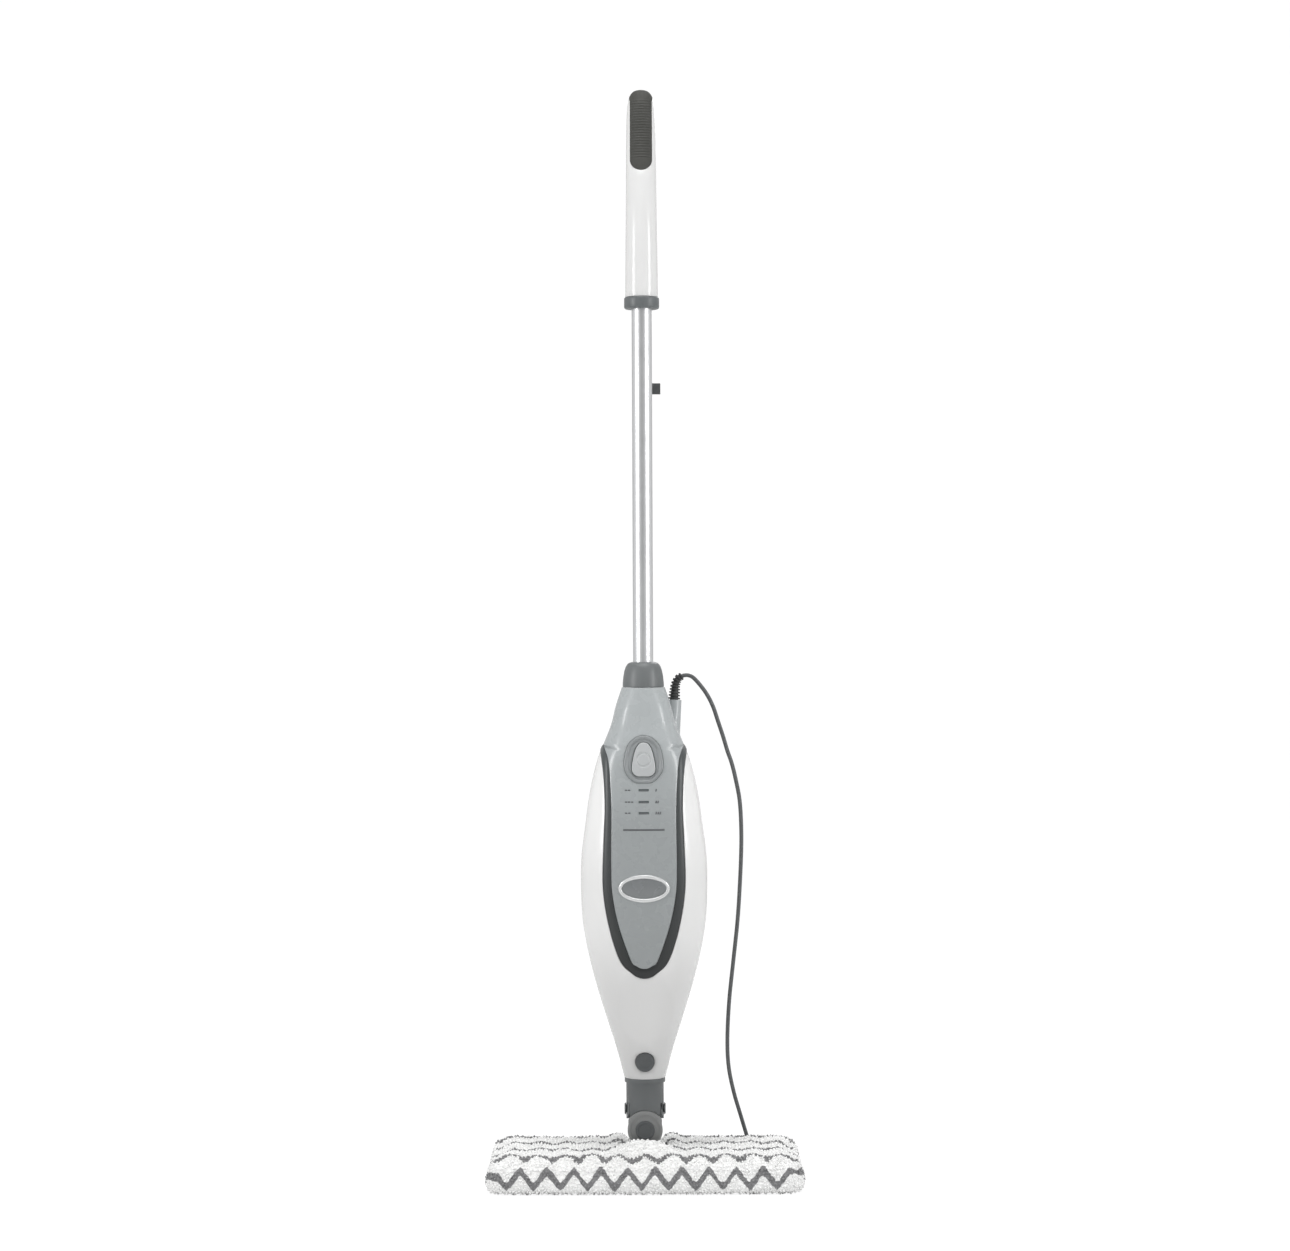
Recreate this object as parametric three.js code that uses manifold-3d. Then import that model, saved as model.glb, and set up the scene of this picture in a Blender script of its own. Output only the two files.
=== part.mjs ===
// Upright steam mop: a tapered casing on a telescoping neck, a two-way hinged mop head with a
// washable pad, and an aluminium tube that carries a curved handle. Millimetres, +Z up.
// The front of the mop faces -Y, and the origin is the middle of the pad's underside.
import * as THREE from 'three';
import { mergeVertices } from 'three/addons/utils/BufferGeometryUtils.js';
import Module from 'manifold-3d';

const wasm = await Module();
wasm.setup();

// ---- driving dimensions ----
const GAP = 0.3; // clearance between pieces that face each other
const WALL = 2.5; // thickness of the moulded shells

const PAD_LENGTH = 345;
const PAD_DEPTH = 170;
const PAD_HEIGHT = 37;
const PAD_CORNER = 20;

const ROLL_Z = 60; // height of the hinge that lets the head tip sideways
const PITCH_Z = 81; // height of the hinge that lets the mop lean back
const NECK_RADIUS = 20.6;
const SPIGOT_RADIUS = 15;
const SPIGOT_TOP = 150;

const CASING_BOTTOM = 116;
const CASING_TOP = 544;
const SHELL_SPLIT = 482; // joint between the white shells and the grey upper housing
const RING_STEP = 28; // height between the rings that shape the casing
const HORN_WIDTH = 8; // height of the trim where it wraps round the back
const SCREW_PLACES = [[-44, 430], [44, 430], [-33, 215], [33, 215]];

const BUTTON_Z = 466;
const BADGE_Z = 326.5;
const LAMP_HEIGHTS = [433.2, 420.4, 408.4];
const RELEASE_Z = 135.3;
const FILLER_Z = 395;
const FILLER_HINGE = [56.5, 416]; // Y and Z of the filler cap's hinge

const TUBE_RADIUS = 11.1;
const TUBE_TOP = 1010;
const HOOK_Z = 876;
const HANDLE_BOTTOM = 973;
const HANDLE_TOP = 1206;
const GRIP_BOTTOM = 1113;
const GRIP_HALF_WIDTH = 12;

const CORD_RADIUS = 2.3;
const HANK_CENTRE = [27, 157];
const HANK_RUN = 78; // length of the straight runs
const HANK_END_RADIUS = 37;
const HANK_Z = [1.6, 16.3];

// Casing: height, half width, depth in front, depth behind, roundness (2 is an ellipse)
const CASING_STATIONS = [
  [116, 22.6, 22.5, 22.5, 2.0],
  [147, 30.8, 28.5, 29.5, 2.0],
  [182, 41.8, 34.5, 37.0, 2.1],
  [218, 52.8, 40.0, 44.0, 2.2],
  [253, 61.6, 44.0, 49.5, 2.2],
  [288, 67.6, 46.8, 53.0, 2.2],
  [323, 69.4, 48.0, 54.0, 2.25],
  [358, 68.8, 48.0, 53.5, 2.3],
  [394, 64.4, 46.8, 51.0, 2.4],
  [429, 59.4, 44.4, 47.4, 2.6],
  [464, 51.2, 41.0, 42.6, 2.8],
  [486, 42.4, 36.5, 37.4, 2.8],
  [503, 35.7, 32.0, 32.4, 2.7],
  [524, 30.3, 28.0, 28.0, 2.4],
  [544, 23.7, 23.7, 23.7, 2.0],
];
// Handle: height, half width, half depth, centre's place behind the tube's axis
const HANDLE_STATIONS = [
  [973, 18.0, 18.0, 0],
  [1020, 17.6, 17.8, 1],
  [1065, 17.0, 17.6, 5],
  [1105, 16.7, 17.4, 12],
  [1140, 16.5, 17.2, 21],
  [1175, 15.8, 16.4, 31],
  [1194, 14.2, 14.6, 36.5],
  [1206, 8.0, 8.5, 40],
];

// ---- solids ----
function solid(geometry) {
  geometry.deleteAttribute('normal');
  geometry.deleteAttribute('uv');
  const merged = mergeVertices(geometry, 1e-4);
  const corners = [];
  const index = merged.index.array;
  for (let i = 0; i < index.length; i += 3) {
    const [a, b, c] = [index[i], index[i + 1], index[i + 2]];
    if (a !== b && b !== c && c !== a) {
      corners.push(a, b, c);
    }
  }
  const mesh = new wasm.Mesh({
    numProp: 3,
    vertProperties: new Float32Array(merged.attributes.position.array),
    triVerts: new Uint32Array(corners),
  });
  return new wasm.Manifold(mesh);
}

function geometryOf(manifold) {
  const mesh = manifold.getMesh();
  const geometry = new THREE.BufferGeometry();
  geometry.setAttribute('position', new THREE.BufferAttribute(mesh.vertProperties, 3));
  geometry.setIndex(new THREE.BufferAttribute(mesh.triVerts, 1));
  return geometry;
}

function join(...parts) {
  return parts.reduce((whole, part) => whole.add(part));
}

function cut(body, ...tools) {
  return tools.reduce((rest, tool) => rest.subtract(tool), body);
}

function block(x0, x1, y0, y1, z0, z1) {
  const geometry = new THREE.BoxGeometry(x1 - x0, y1 - y0, z1 - z0);
  geometry.translate((x0 + x1) / 2, (y0 + y1) / 2, (z0 + z1) / 2);
  return solid(geometry);
}

// A rod along X, Y or Z from one coordinate to the other; place holds the other two coordinates
function rod(axis, from, to, place, radius, sides = 18, endRadius = radius) {
  const geometry = new THREE.CylinderGeometry(endRadius, radius, to - from, sides);
  const middle = (from + to) / 2;
  if (axis === 'x') {
    geometry.rotateZ(-Math.PI / 2);
    geometry.translate(middle, place[0], place[1]);
  } else if (axis === 'y') {
    geometry.translate(place[0], middle, place[1]);
  } else {
    geometry.rotateX(Math.PI / 2);
    geometry.translate(place[0], place[1], middle);
  }
  return solid(geometry);
}

// Turned solid about Z; the profile lists [radius, height] from the axis round to the axis
function turned(profile, sides = 20) {
  const points = profile.map(([radius, height]) => new THREE.Vector2(radius, height));
  const geometry = new THREE.LatheGeometry(points, sides);
  geometry.rotateX(Math.PI / 2);
  return solid(geometry);
}

// Ring about Z with a closed profile
function ring(inner, outer, z0, z1, sides = 20) {
  return turned([[inner, z0], [outer, z0], [outer, z1], [inner, z1], [inner, z0]], sides);
}

// Turns a [x, z] outline into a solid that reaches from y0 to y1
function frontPrism(shape, y0, y1, curveSegments = 8) {
  const options = { depth: y1 - y0, bevelEnabled: false, curveSegments };
  const geometry = new THREE.ExtrudeGeometry(shape, options);
  geometry.rotateX(Math.PI / 2);
  geometry.translate(0, y1, 0);
  return solid(geometry);
}

function plate(shape, z0, z1, curveSegments = 6) {
  const options = { depth: z1 - z0, bevelEnabled: false, curveSegments };
  const geometry = new THREE.ExtrudeGeometry(shape, options);
  geometry.translate(0, 0, z0);
  return solid(geometry);
}

function roundedRectangle(width, height, radius, x = 0, y = 0) {
  const shape = new THREE.Shape();
  const [w, h] = [width / 2 - radius, height / 2 - radius];
  shape.absarc(x + w, y - h, radius, -Math.PI / 2, 0);
  shape.absarc(x + w, y + h, radius, 0, Math.PI / 2);
  shape.absarc(x - w, y + h, radius, Math.PI / 2, Math.PI);
  shape.absarc(x - w, y - h, radius, Math.PI, Math.PI * 1.5);
  shape.closePath();
  return shape;
}

// Outline that is the same on both sides, drawn smoothly through the right half's points
function symmetricOutline(half, samples = 16) {
  const curve = new THREE.SplineCurve(half.map(([x, z]) => new THREE.Vector2(x, z)));
  const right = curve.getSpacedPoints(samples);
  const left = right.filter((p) => p.x > 0.01).map((p) => new THREE.Vector2(-p.x, p.y)).reverse();
  return new THREE.Shape([...right, ...left]);
}

function sweep(points, radius, sides, steps) {
  const path = new THREE.CatmullRomCurve3(points.map((p) => new THREE.Vector3(...p)), false, 'centripetal');
  const section = new THREE.Shape();
  for (let i = 0; i < sides; i += 1) {
    const angle = (i / sides) * Math.PI * 2;
    const [x, y] = [radius * Math.cos(angle), radius * Math.sin(angle)];
    if (i === 0) {
      section.moveTo(x, y);
    } else {
      section.lineTo(x, y);
    }
  }
  section.closePath();
  return solid(new THREE.ExtrudeGeometry(section, { steps, extrudePath: path, bevelEnabled: false }));
}

// Reads a table of stations at a height, with a smooth curve between them
function stationAt(stations, z) {
  let i = stations.findIndex((row, k) => k > 0 && row[0] >= z);
  if (i < 0) {
    i = stations.length - 1;
  }
  const rows = [i - 2, i - 1, i, i + 1].map((k) => stations[Math.min(Math.max(k, 0), stations.length - 1)]);
  const t = (z - rows[1][0]) / (rows[2][0] - rows[1][0]);
  return rows[1].map((value, column) => {
    if (column === 0) {
      return z;
    }
    const slope = (a, b) => (b[0] === a[0] ? 0 : (b[column] - a[column]) / (b[0] - a[0]));
    const span = rows[2][0] - rows[1][0];
    const start = slope(rows[0], rows[2]) * span;
    const end = slope(rows[1], rows[3]) * span;
    const t2 = t * t;
    const t3 = t2 * t;
    return (2 * t3 - 3 * t2 + 1) * value + (t3 - 2 * t2 + t) * start
      + (3 * t2 - 2 * t3) * rows[2][column] + (t3 - t2) * end;
  });
}

// Closed solid from rings of equal length, lowest first, each running anticlockwise from above
function loft(rings) {
  const count = rings[0].length;
  const positions = rings.flat().flat();
  const index = [];
  for (let level = 0; level < rings.length - 1; level += 1) {
    for (let i = 0; i < count; i += 1) {
      const j = (i + 1) % count;
      const [a, b] = [level * count + i, level * count + j];
      index.push(a, b, b + count, a, b + count, a + count);
    }
  }
  const last = (rings.length - 1) * count;
  for (let i = 1; i < count - 1; i += 1) {
    index.push(0, i + 1, i, last, last + i, last + i + 1);
  }
  const geometry = new THREE.BufferGeometry();
  geometry.setAttribute('position', new THREE.Float32BufferAttribute(positions, 3));
  geometry.setIndex(index);
  return solid(geometry);
}

function signedPower(value, power) {
  return Math.sign(value) * Math.abs(value) ** power;
}

// The casing's outer form, grown or shrunk by offset, between two heights
function casing(offset, bottom = CASING_BOTTOM, top = CASING_TOP, around = 26) {
  const heights = [bottom];
  for (let z = CASING_BOTTOM + RING_STEP; z < CASING_TOP; z += RING_STEP) {
    if (z > bottom + 4 && z < top - 4) {
      heights.push(z);
    }
  }
  heights.push(top);
  return loft(heights.map((z) => {
    const inside = Math.min(Math.max(z, CASING_BOTTOM), CASING_TOP);
    const [, width, front, back, power] = stationAt(CASING_STATIONS, inside);
    const points = [];
    for (let i = 0; i < around; i += 1) {
      const angle = (i / around) * Math.PI * 2;
      const depth = Math.sin(angle) < 0 ? front : back;
      const x = (width + offset) * signedPower(Math.cos(angle), 2 / power);
      const y = (depth + offset) * signedPower(Math.sin(angle), 2 / power);
      points.push([x, y, z]);
    }
    return points;
  }));
}

function casingFront(z) {
  return -stationAt(CASING_STATIONS, z)[2];
}

function casingBack(z) {
  return stationAt(CASING_STATIONS, z)[3];
}

function handleForm(offset, bottom, top) {
  const heights = [bottom, 1020, 1060, 1100, 1140, 1175, 1190, 1199, top];
  return loft(heights.map((z) => {
    const [, width, depth, centre] = stationAt(HANDLE_STATIONS, Math.max(z, HANDLE_BOTTOM));
    const points = [];
    for (let i = 0; i < 18; i += 1) {
      const angle = (i / 18) * Math.PI * 2;
      points.push([(width + offset) * Math.cos(angle), centre + (depth + offset) * Math.sin(angle), z]);
    }
    return points;
  }));
}

// ---- outlines on the casing's front ----
function trimOuterOutline(grow = 0) {
  return symmetricOutline([
    [0, 228.4 - grow], [13, 234 - grow], [26.5 + grow, 247.5 - grow], [38.3 + grow, 284], [44.8 + grow, 327],
    [43.8 + grow, 377], [42.3 + grow, 413], [44.9 + grow, 466], [60, 474 - grow],
  ]);
}

function housingOutline(shrink = 0) {
  const lower = new THREE.SplineCurve([
    [0, 239 + shrink], [8, 241.8 + shrink], [14.2 - shrink, 247.5 + shrink], [27.3 - shrink, 284], [34.6 - shrink, 320],
    [35.8 - shrink, 351], [35.4 - shrink, 413], [38.8 - shrink, 467], [60, SHELL_SPLIT + shrink],
  ].map(([x, z]) => new THREE.Vector2(x, z)));
  const right = [...lower.getSpacedPoints(22), new THREE.Vector2(70, 560)];
  const left = right.filter((p) => p.x > 0.01).map((p) => new THREE.Vector2(-p.x, p.y)).reverse();
  return new THREE.Shape([...right, ...left]);
}

function bezelOutline(grow = 0) {
  return symmetricOutline([
    [0, BUTTON_Z - 25 - grow], [10 + grow, BUTTON_Z - 24 - grow], [19.5 + grow, BUTTON_Z - 14],
    [21.3 + grow, BUTTON_Z - 1], [17.5 + grow, BUTTON_Z + 15], [9 + grow, BUTTON_Z + 24 + grow],
    [0, BUTTON_Z + 26.5 + grow],
  ], 16);
}

function buttonOutline(grow = 0) {
  return symmetricOutline([
    [0, BUTTON_Z - 18 - grow], [8 + grow, BUTTON_Z - 17.4 - grow], [12.6 + grow, BUTTON_Z - 12],
    [12.2 + grow, BUTTON_Z - 3], [8.8 + grow, BUTTON_Z + 11], [4.5 + grow, BUTTON_Z + 17.5 + grow],
    [0, BUTTON_Z + 19 + grow],
  ], 14);
}

function badgeOutline(width, height) {
  const shape = new THREE.Shape();
  shape.absellipse(0, BADGE_Z, width / 2, height / 2, 0, Math.PI * 2);
  return shape;
}

// ---- assemblies, nested as they are put together ----
const mop = new THREE.Group();
const mopBody = new THREE.Group();
const neckGroup = new THREE.Group();
const headGroup = new THREE.Group();
const handleGroup = new THREE.Group();
const cordGroup = new THREE.Group();
mopBody.add(handleGroup, cordGroup);
mop.add(mopBody, neckGroup, headGroup);

function material(color, roughness, metalness = 0) {
  return new THREE.MeshStandardMaterial({ color, roughness, metalness });
}

const WHITE = [0xeceae7, 0.3];
const PALE_GREY = [0xb4b9ba, 0.4];
const DARK_GREY = [0x5f6463, 0.45];
const GRAPHITE = [0x3c3f40, 0.5];
const RUBBER = [0x2b2c2c, 0.8];
const STEEL = [0xb9bcbe, 0.3, 1];
const ALUMINIUM = [0xd5d7d8, 0.25, 1];
const CLOTH = [0xf0f0ee, 0.95];

function addPiece(group, name, body, look, place = [0, 0, 0]) {
  const mesh = new THREE.Mesh(geometryOf(body), material(...look));
  mesh.name = name;
  mesh.position.set(...place);
  group.add(mesh);
  return mesh;
}

// ---- casing ----
const innerForm = casing(-WALL, CASING_BOTTOM - 3, CASING_TOP - 3);
const outerForm = casing(0);
const skin = outerForm.subtract(innerForm);
const frontHalf = block(-100, 100, -100, -GAP / 2, 100, 560);
const rearHalf = block(-100, 100, GAP / 2, 100, 100, 560);
const tubeHole = rod('z', 500, 560, [0, 0], TUBE_RADIUS + 0.4);

function screwPost([x, z]) {
  const post = rod('y', casingFront(z) + 8, casingBack(z) * 0.5, [x, z], 4, 12);
  const pilot = rod('y', 0, casingBack(z), [x, z], 1.9, 12);
  return post.subtract(pilot);
}

function frontShell() {
  const shell = skin.intersect(frontHalf);
  const opening = frontPrism(trimOuterOutline(GAP), -100, 5);
  const above = block(-100, 100, -100, 0, SHELL_SPLIT - HORN_WIDTH - GAP, 560);
  const buttonHole = rod('y', -40, -15, [0, RELEASE_Z], 10.7);
  const posts = SCREW_PLACES.map((place) => screwPost(place).intersect(outerForm));
  const shellWithPosts = join(cut(shell, opening, above, buttonHole), ...posts.slice(2));
  return shellWithPosts;
}

function rearShell() {
  const top = block(-100, 100, -5, 100, SHELL_SPLIT - HORN_WIDTH - GAP, 560);
  const screwHoles = SCREW_PLACES.map(([x, z]) => rod('y', 5, 100, [x, z], 2.3, 12));
  const headSeats = SCREW_PLACES.map(([x, z]) => rod('y', seatDepth(x, z), 100, [x, z], 4.6, 16));
  const fillerHole = rod('y', 20, 100, [0, FILLER_Z], 14.6);
  const fillerSeat = rod('y', casingBack(FILLER_Z) - 1.5, 100, [0, FILLER_Z], 22);
  const openings = [top, ...screwHoles, ...headSeats, fillerHole, fillerSeat, ratingSeat()];
  const shell = cut(skin.intersect(rearHalf), ...openings);
  const pads = SCREW_PLACES.map(([x, z]) => rod('y', seatDepth(x, z) - 5, seatDepth(x, z), [x, z], 6, 16));
  const drilled = pads.map((pad, i) => cut(pad.intersect(outerForm), screwHoles[i]));
  return join(shell, ...drilled);
}

// Depth of the flat seat under a casing screw's head
function seatDepth(x, z) {
  const [, width, , back, power] = stationAt(CASING_STATIONS, z);
  return back * (1 - (Math.abs(x) / width) ** power) ** (1 / power) - 4.5;
}

function ratingSeat() {
  const window = frontPrism(roundedRectangle(46.6, 28.6, 3, 0, 300), 20, 80);
  return window.subtract(casing(-0.9));
}

function frontHousing() {
  const region = frontPrism(housingOutline(GAP), -100, 5);
  const bezelSeat = frontPrism(bezelOutline(GAP), -100, 0);
  const slots = LAMP_HEIGHTS.map((z) => block(-5.55, 5.55, -100, 0, z - 1.3, z + 1.3));
  const badgeSeat = frontPrism(badgeOutline(56.6, 30.6), -100, 0, 16).subtract(casing(-1));
  const shell = skin.intersect(frontHalf).intersect(region);
  return cut(shell, bezelSeat, ...slots, badgeSeat, tubeHole);
}

function rearHousing() {
  const region = block(-100, 100, 0, 100, SHELL_SPLIT + GAP, 560);
  const socket = sweep([[32.4, 26, 476], [33.6, 27.8, 502], [34.6, 29.4, 529.3]], 7.7, 16, 3);
  const bore = sweep([[32.2, 25.6, 470], [33.6, 27.8, 502], [34.8, 29.6, 533]], 2.6, 8, 3);
  const socketOutside = socket.intersect(block(0, 100, 0, 100, SHELL_SPLIT + GAP, 560));
  return cut(join(skin.intersect(rearHalf).intersect(region), socketOutside), innerForm, bore, tubeHole);
}

function trimBand() {
  const thick = casing(0.8).subtract(innerForm);
  const outline = frontPrism(trimOuterOutline(), -100, -GAP / 2);
  const openMiddle = frontPrism(housingOutline(), -101, 5);
  const front = cut(thick.intersect(outline), openMiddle);
  const band = block(-100, 100, -100, 100, SHELL_SPLIT - HORN_WIDTH, SHELL_SPLIT);
  const horns = cut(thick.intersect(band), frontPrism(housingOutline(), -101, 0));
  return join(front, horns);
}

function buttonBezel() {
  const layer = casing(1.1).subtract(casing(-WALL));
  const plateForm = layer.intersect(frontPrism(bezelOutline(), -100, 0));
  return plateForm.subtract(frontPrism(buttonOutline(0.5), -100, 5));
}

function steamButton() {
  const cap = casing(2.2).subtract(casing(-1.5));
  return cap.intersect(frontPrism(buttonOutline(), -100, 0));
}

function lamp() {
  return block(-5.2, 5.2, -0.9, 0.9, -1, 1);
}

function badgePlate() {
  const layer = casing(0.6).subtract(casing(-0.7));
  return layer.intersect(frontPrism(badgeOutline(56, 30), -100, 0, 16));
}

function ratingPlate() {
  const layer = casing(0.2).subtract(casing(-0.6));
  return layer.intersect(frontPrism(roundedRectangle(46, 28, 2.7, 0, 300), 20, 80));
}

function lowerCordHook() {
  const root = casingBack(246) + 0.3;
  const foot = block(-10, 10, root, root + 3.5, 228, 262);
  const arm = block(-8, 8, root + 3, 76, 240, 247);
  const lip = block(-8, 8, 71, 76, 219, 247);
  const flush = casing(GAP);
  return join(foot, arm, lip).subtract(flush);
}

addPiece(mopBody, 'front_shell', frontShell(), WHITE);
addPiece(mopBody, 'rear_shell', rearShell(), WHITE);
addPiece(mopBody, 'front_housing', frontHousing(), PALE_GREY);
addPiece(mopBody, 'rear_housing', rearHousing(), PALE_GREY);
addPiece(mopBody, 'trim_band', trimBand(), DARK_GREY);
addPiece(mopBody, 'button_bezel', buttonBezel(), PALE_GREY);
addPiece(mopBody, 'steam_button', steamButton(), [0xa9adae, 0.35]);
LAMP_HEIGHTS.forEach((z, i) => {
  addPiece(mopBody, `indicator_lens_${i + 1}`, lamp(), [0x8a9092, 0.2], [0, casingFront(z) + 0.9, z]);
});
addPiece(mopBody, 'badge_plate', badgePlate(), GRAPHITE);
addPiece(mopBody, 'rating_plate', ratingPlate(), PALE_GREY);
addPiece(mopBody, 'lower_cord_hook', lowerCordHook(), DARK_GREY);

// Casing screws: pan head in its seat, shank through the rear shell into the front shell's post
function casingScrew(length) {
  return turned([[0, -length], [1.6, -length + 1], [1.6, 0], [4, 0.2], [4, 1.4], [2.6, 2.4], [0, 2.4]], 12);
}

SCREW_PLACES.forEach(([x, z], i) => {
  const screw = addPiece(mopBody, `casing_screw_${i + 1}`, casingScrew(12), STEEL, [x, seatDepth(x, z) + 0.2, z]);
  screw.rotation.x = -Math.PI / 2;
});

// ---- water and steam parts inside the casing ----
function waterTank() {
  const outside = casing(-5).intersect(block(-80, 80, 2, 80, 255, 412));
  const inside = casing(-7).intersect(block(-80, 80, 4, 80, 257, 410));
  return cut(outside, inside, rod('y', 20, 80, [0, FILLER_Z], 14.6));
}

function fillerNeck() {
  const face = casingBack(FILLER_Z);
  const pipe = rod('y', 38, face, [0, FILLER_Z], 14);
  const flange = rod('y', face - 1.2, face + 1.6, [0, FILLER_Z], 19.5);
  const [hingeY, hingeZ] = FILLER_HINGE;
  const ear = (x0, x1) => join(
    block(x0, x1, face - 1, hingeY + 2.6, FILLER_Z + 14, hingeZ + 2),
    rod('x', x0, x1, [hingeY, hingeZ], 2.6, 12),
  );
  const ears = [ear(-9.5, -6), ear(6, 9.5)];
  const bore = rod('y', 30, 80, [0, FILLER_Z], 11);
  const pinHole = rod('x', -12, 12, [hingeY, hingeZ], 1.5, 12);
  const shellSkin = casing(GAP).intersect(block(-9.6, 9.6, 30, 80, FILLER_Z + 19.5, FILLER_Z + 30));
  return cut(join(pipe, flange, ...ears), bore, pinHole, shellSkin);
}

function fillerCap() {
  const face = casingBack(FILLER_Z) + 1.6 + GAP;
  const [hingeY, hingeZ] = FILLER_HINGE;
  const disc = rod('y', face, face + 3.6, [0, FILLER_Z], 17.5);
  const plug = rod('y', face - 3, face + 0.5, [0, FILLER_Z], 9);
  const lug = join(
    block(-5.5, 5.5, face + 0.4, hingeY + 2.4, FILLER_Z + 12, hingeZ),
    rod('x', -5.5, 5.5, [hingeY, hingeZ], 2.4, 12),
  );
  const tab = block(-5, 5, face, face + 3.6, FILLER_Z - 21, FILLER_Z - 14);
  const earRoom = [block(-10, -5.6, face - 1, 80, FILLER_Z + 13.6, 430), block(5.6, 10, face - 1, 80, FILLER_Z + 13.6, 430)];
  return cut(join(disc, plug, lug, tab), rod('x', -12, 12, [hingeY, hingeZ], 1.5, 12), ...earRoom);
}

addPiece(mopBody, 'water_tank', waterTank(), [0xcfd6da, 0.2]);
addPiece(mopBody, 'filler_neck', fillerNeck(), DARK_GREY);
addPiece(mopBody, 'filler_cap', fillerCap(), DARK_GREY);
const seal = addPiece(
  mopBody, 'filler_seal', ring(9.3, 10.4, -2.6, -0.8, 20), RUBBER, [0, casingBack(FILLER_Z) + 1.6 + GAP, FILLER_Z],
);
seal.rotation.x = -Math.PI / 2;
addPiece(mopBody, 'filler_hinge_pin', rod('x', -9.4, 9.4, FILLER_HINGE, 1.2, 12), STEEL);
addPiece(mopBody, 'control_board', block(-26, 26, -26, -24.4, 385, 478), [0x2f6a45, 0.6]);
addPiece(mopBody, 'steam_switch', block(-6, 6, -34.4, -26.3, 460, 472), GRAPHITE);
addPiece(mopBody, 'pump', rod('z', 212, 246, [0, 10], 14), GRAPHITE);
addPiece(mopBody, 'feed_hose', rod('z', 246.4, 254.6, [4, 14], 3, 8), RUBBER);
addPiece(mopBody, 'delivery_hose', sweep([[0, 8, 211.6], [0, 8, 205], [8, 5, 197], [8, 5, 190.4]], 3, 8, 8), RUBBER);
addPiece(mopBody, 'heater_block', block(-20, 20, -12, 17, 160, 190), ALUMINIUM);
addPiece(mopBody, 'thermostat', rod('y', -17, -12.4, [0, 176], 8), STEEL);
addPiece(mopBody, 'steam_pipe', rod('z', 150.8, 159.6, [0, 0], 3, 12), STEEL);

// ---- neck socket and its release ----
function neckSocket() {
  const sleeve = ring(17.2, 19.2, CASING_BOTTOM + GAP, 158);
  const roof = ring(3.6, 18, 155, 158);
  return cut(join(sleeve, roof), block(-4.6, 4.6, -25, -15, RELEASE_Z - 4.6, RELEASE_Z + 4.6));
}

function releaseButton() {
  const face = casingFront(RELEASE_Z);
  const head = rod('y', face - 1.6, face + 3.2, [0, RELEASE_Z], 10.3);
  const stem = block(-3.6, 3.6, face + 3, -19.3, RELEASE_Z - 3.6, RELEASE_Z + 3.6);
  const scoop = new THREE.SphereGeometry(24, 20, 12);
  scoop.translate(0, face - 24.6, RELEASE_Z);
  return join(head, stem).subtract(solid(scoop));
}

addPiece(mopBody, 'neck_socket', neckSocket(), GRAPHITE);
addPiece(mopBody, 'head_release_button', releaseButton(), DARK_GREY);
addPiece(mopBody, 'latch_spring', block(-7, 7, -20, -19.6, 122.6, 126.6), STEEL);

// ---- tube, collar and cord hook ----
function tubeCollar() {
  return turned([
    [TUBE_RADIUS + 0.3, CASING_TOP + GAP], [22.7, CASING_TOP + GAP], [22.6, 549], [20.8, 562], [19.4, 566.4],
    [17.6, 569.4], [15.6, 571], [TUBE_RADIUS + 0.3, 572], [TUBE_RADIUS + 0.3, CASING_TOP + GAP],
  ]);
}

function hookBase() {
  const saddle = block(-9.6, 9.6, 4, 14, HOOK_Z - 14, HOOK_Z + 14);
  const boss = rod('y', 13, 18, [0, HOOK_Z], 8, 20);
  return cut(join(saddle, boss), rod('z', HOOK_Z - 20, HOOK_Z + 20, [0, 0], TUBE_RADIUS + GAP, 24));
}

function hookArm() {
  const boss = rod('y', 18.3, 24, [0, HOOK_Z], 7, 20);
  const arm = block(-5, 5, 23, 52, HOOK_Z - 5, HOOK_Z + 5);
  const finger = block(-5, 20.4, 46, 52, HOOK_Z - 6, HOOK_Z + 6);
  return join(boss, arm, finger);
}

addPiece(handleGroup, 'tube_collar', tubeCollar(), [0x747877, 0.45]);
addPiece(handleGroup, 'handle_tube', ring(TUBE_RADIUS - 1.2, TUBE_RADIUS, 505, TUBE_TOP), ALUMINIUM);
addPiece(handleGroup, 'cord_hook_base', hookBase(), GRAPHITE);
addPiece(handleGroup, 'cord_hook_arm', hookArm(), GRAPHITE);

// ---- handle ----
const handleOuter = handleForm(0, HANDLE_BOTTOM, HANDLE_TOP);
const handleInner = handleForm(-2.2, HANDLE_BOTTOM - 2, HANDLE_TOP - 3);
const handleSkin = handleOuter.subtract(handleInner);

// Everything in front of the handle's curved centre line, moved by shift along Y
function handleFrontRegion(shift) {
  const shape = new THREE.Shape();
  const heights = [965, 1020, 1060, 1100, 1140, 1175, 1190, 1199, 1215];
  shape.moveTo(-60, heights[0]);
  heights.forEach((z) => {
    const centre = stationAt(HANDLE_STATIONS, Math.min(Math.max(z, HANDLE_BOTTOM), HANDLE_TOP))[3];
    shape.lineTo(centre + shift, z);
  });
  shape.lineTo(-60, heights[heights.length - 1]);
  const geometry = new THREE.ExtrudeGeometry(shape, { depth: 80, bevelEnabled: false });
  geometry.rotateX(Math.PI / 2);
  geometry.rotateZ(Math.PI / 2);
  geometry.translate(-40, 0, 0);
  return solid(geometry);
}

function gripOutline(grow = 0) {
  const half = GRIP_HALF_WIDTH + grow;
  const shape = new THREE.Shape();
  shape.moveTo(half, 1230);
  shape.lineTo(-half, 1230);
  shape.lineTo(-half, GRIP_BOTTOM + half);
  shape.absarc(0, GRIP_BOTTOM + GRIP_HALF_WIDTH, half, Math.PI, Math.PI * 2);
  return shape;
}

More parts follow.
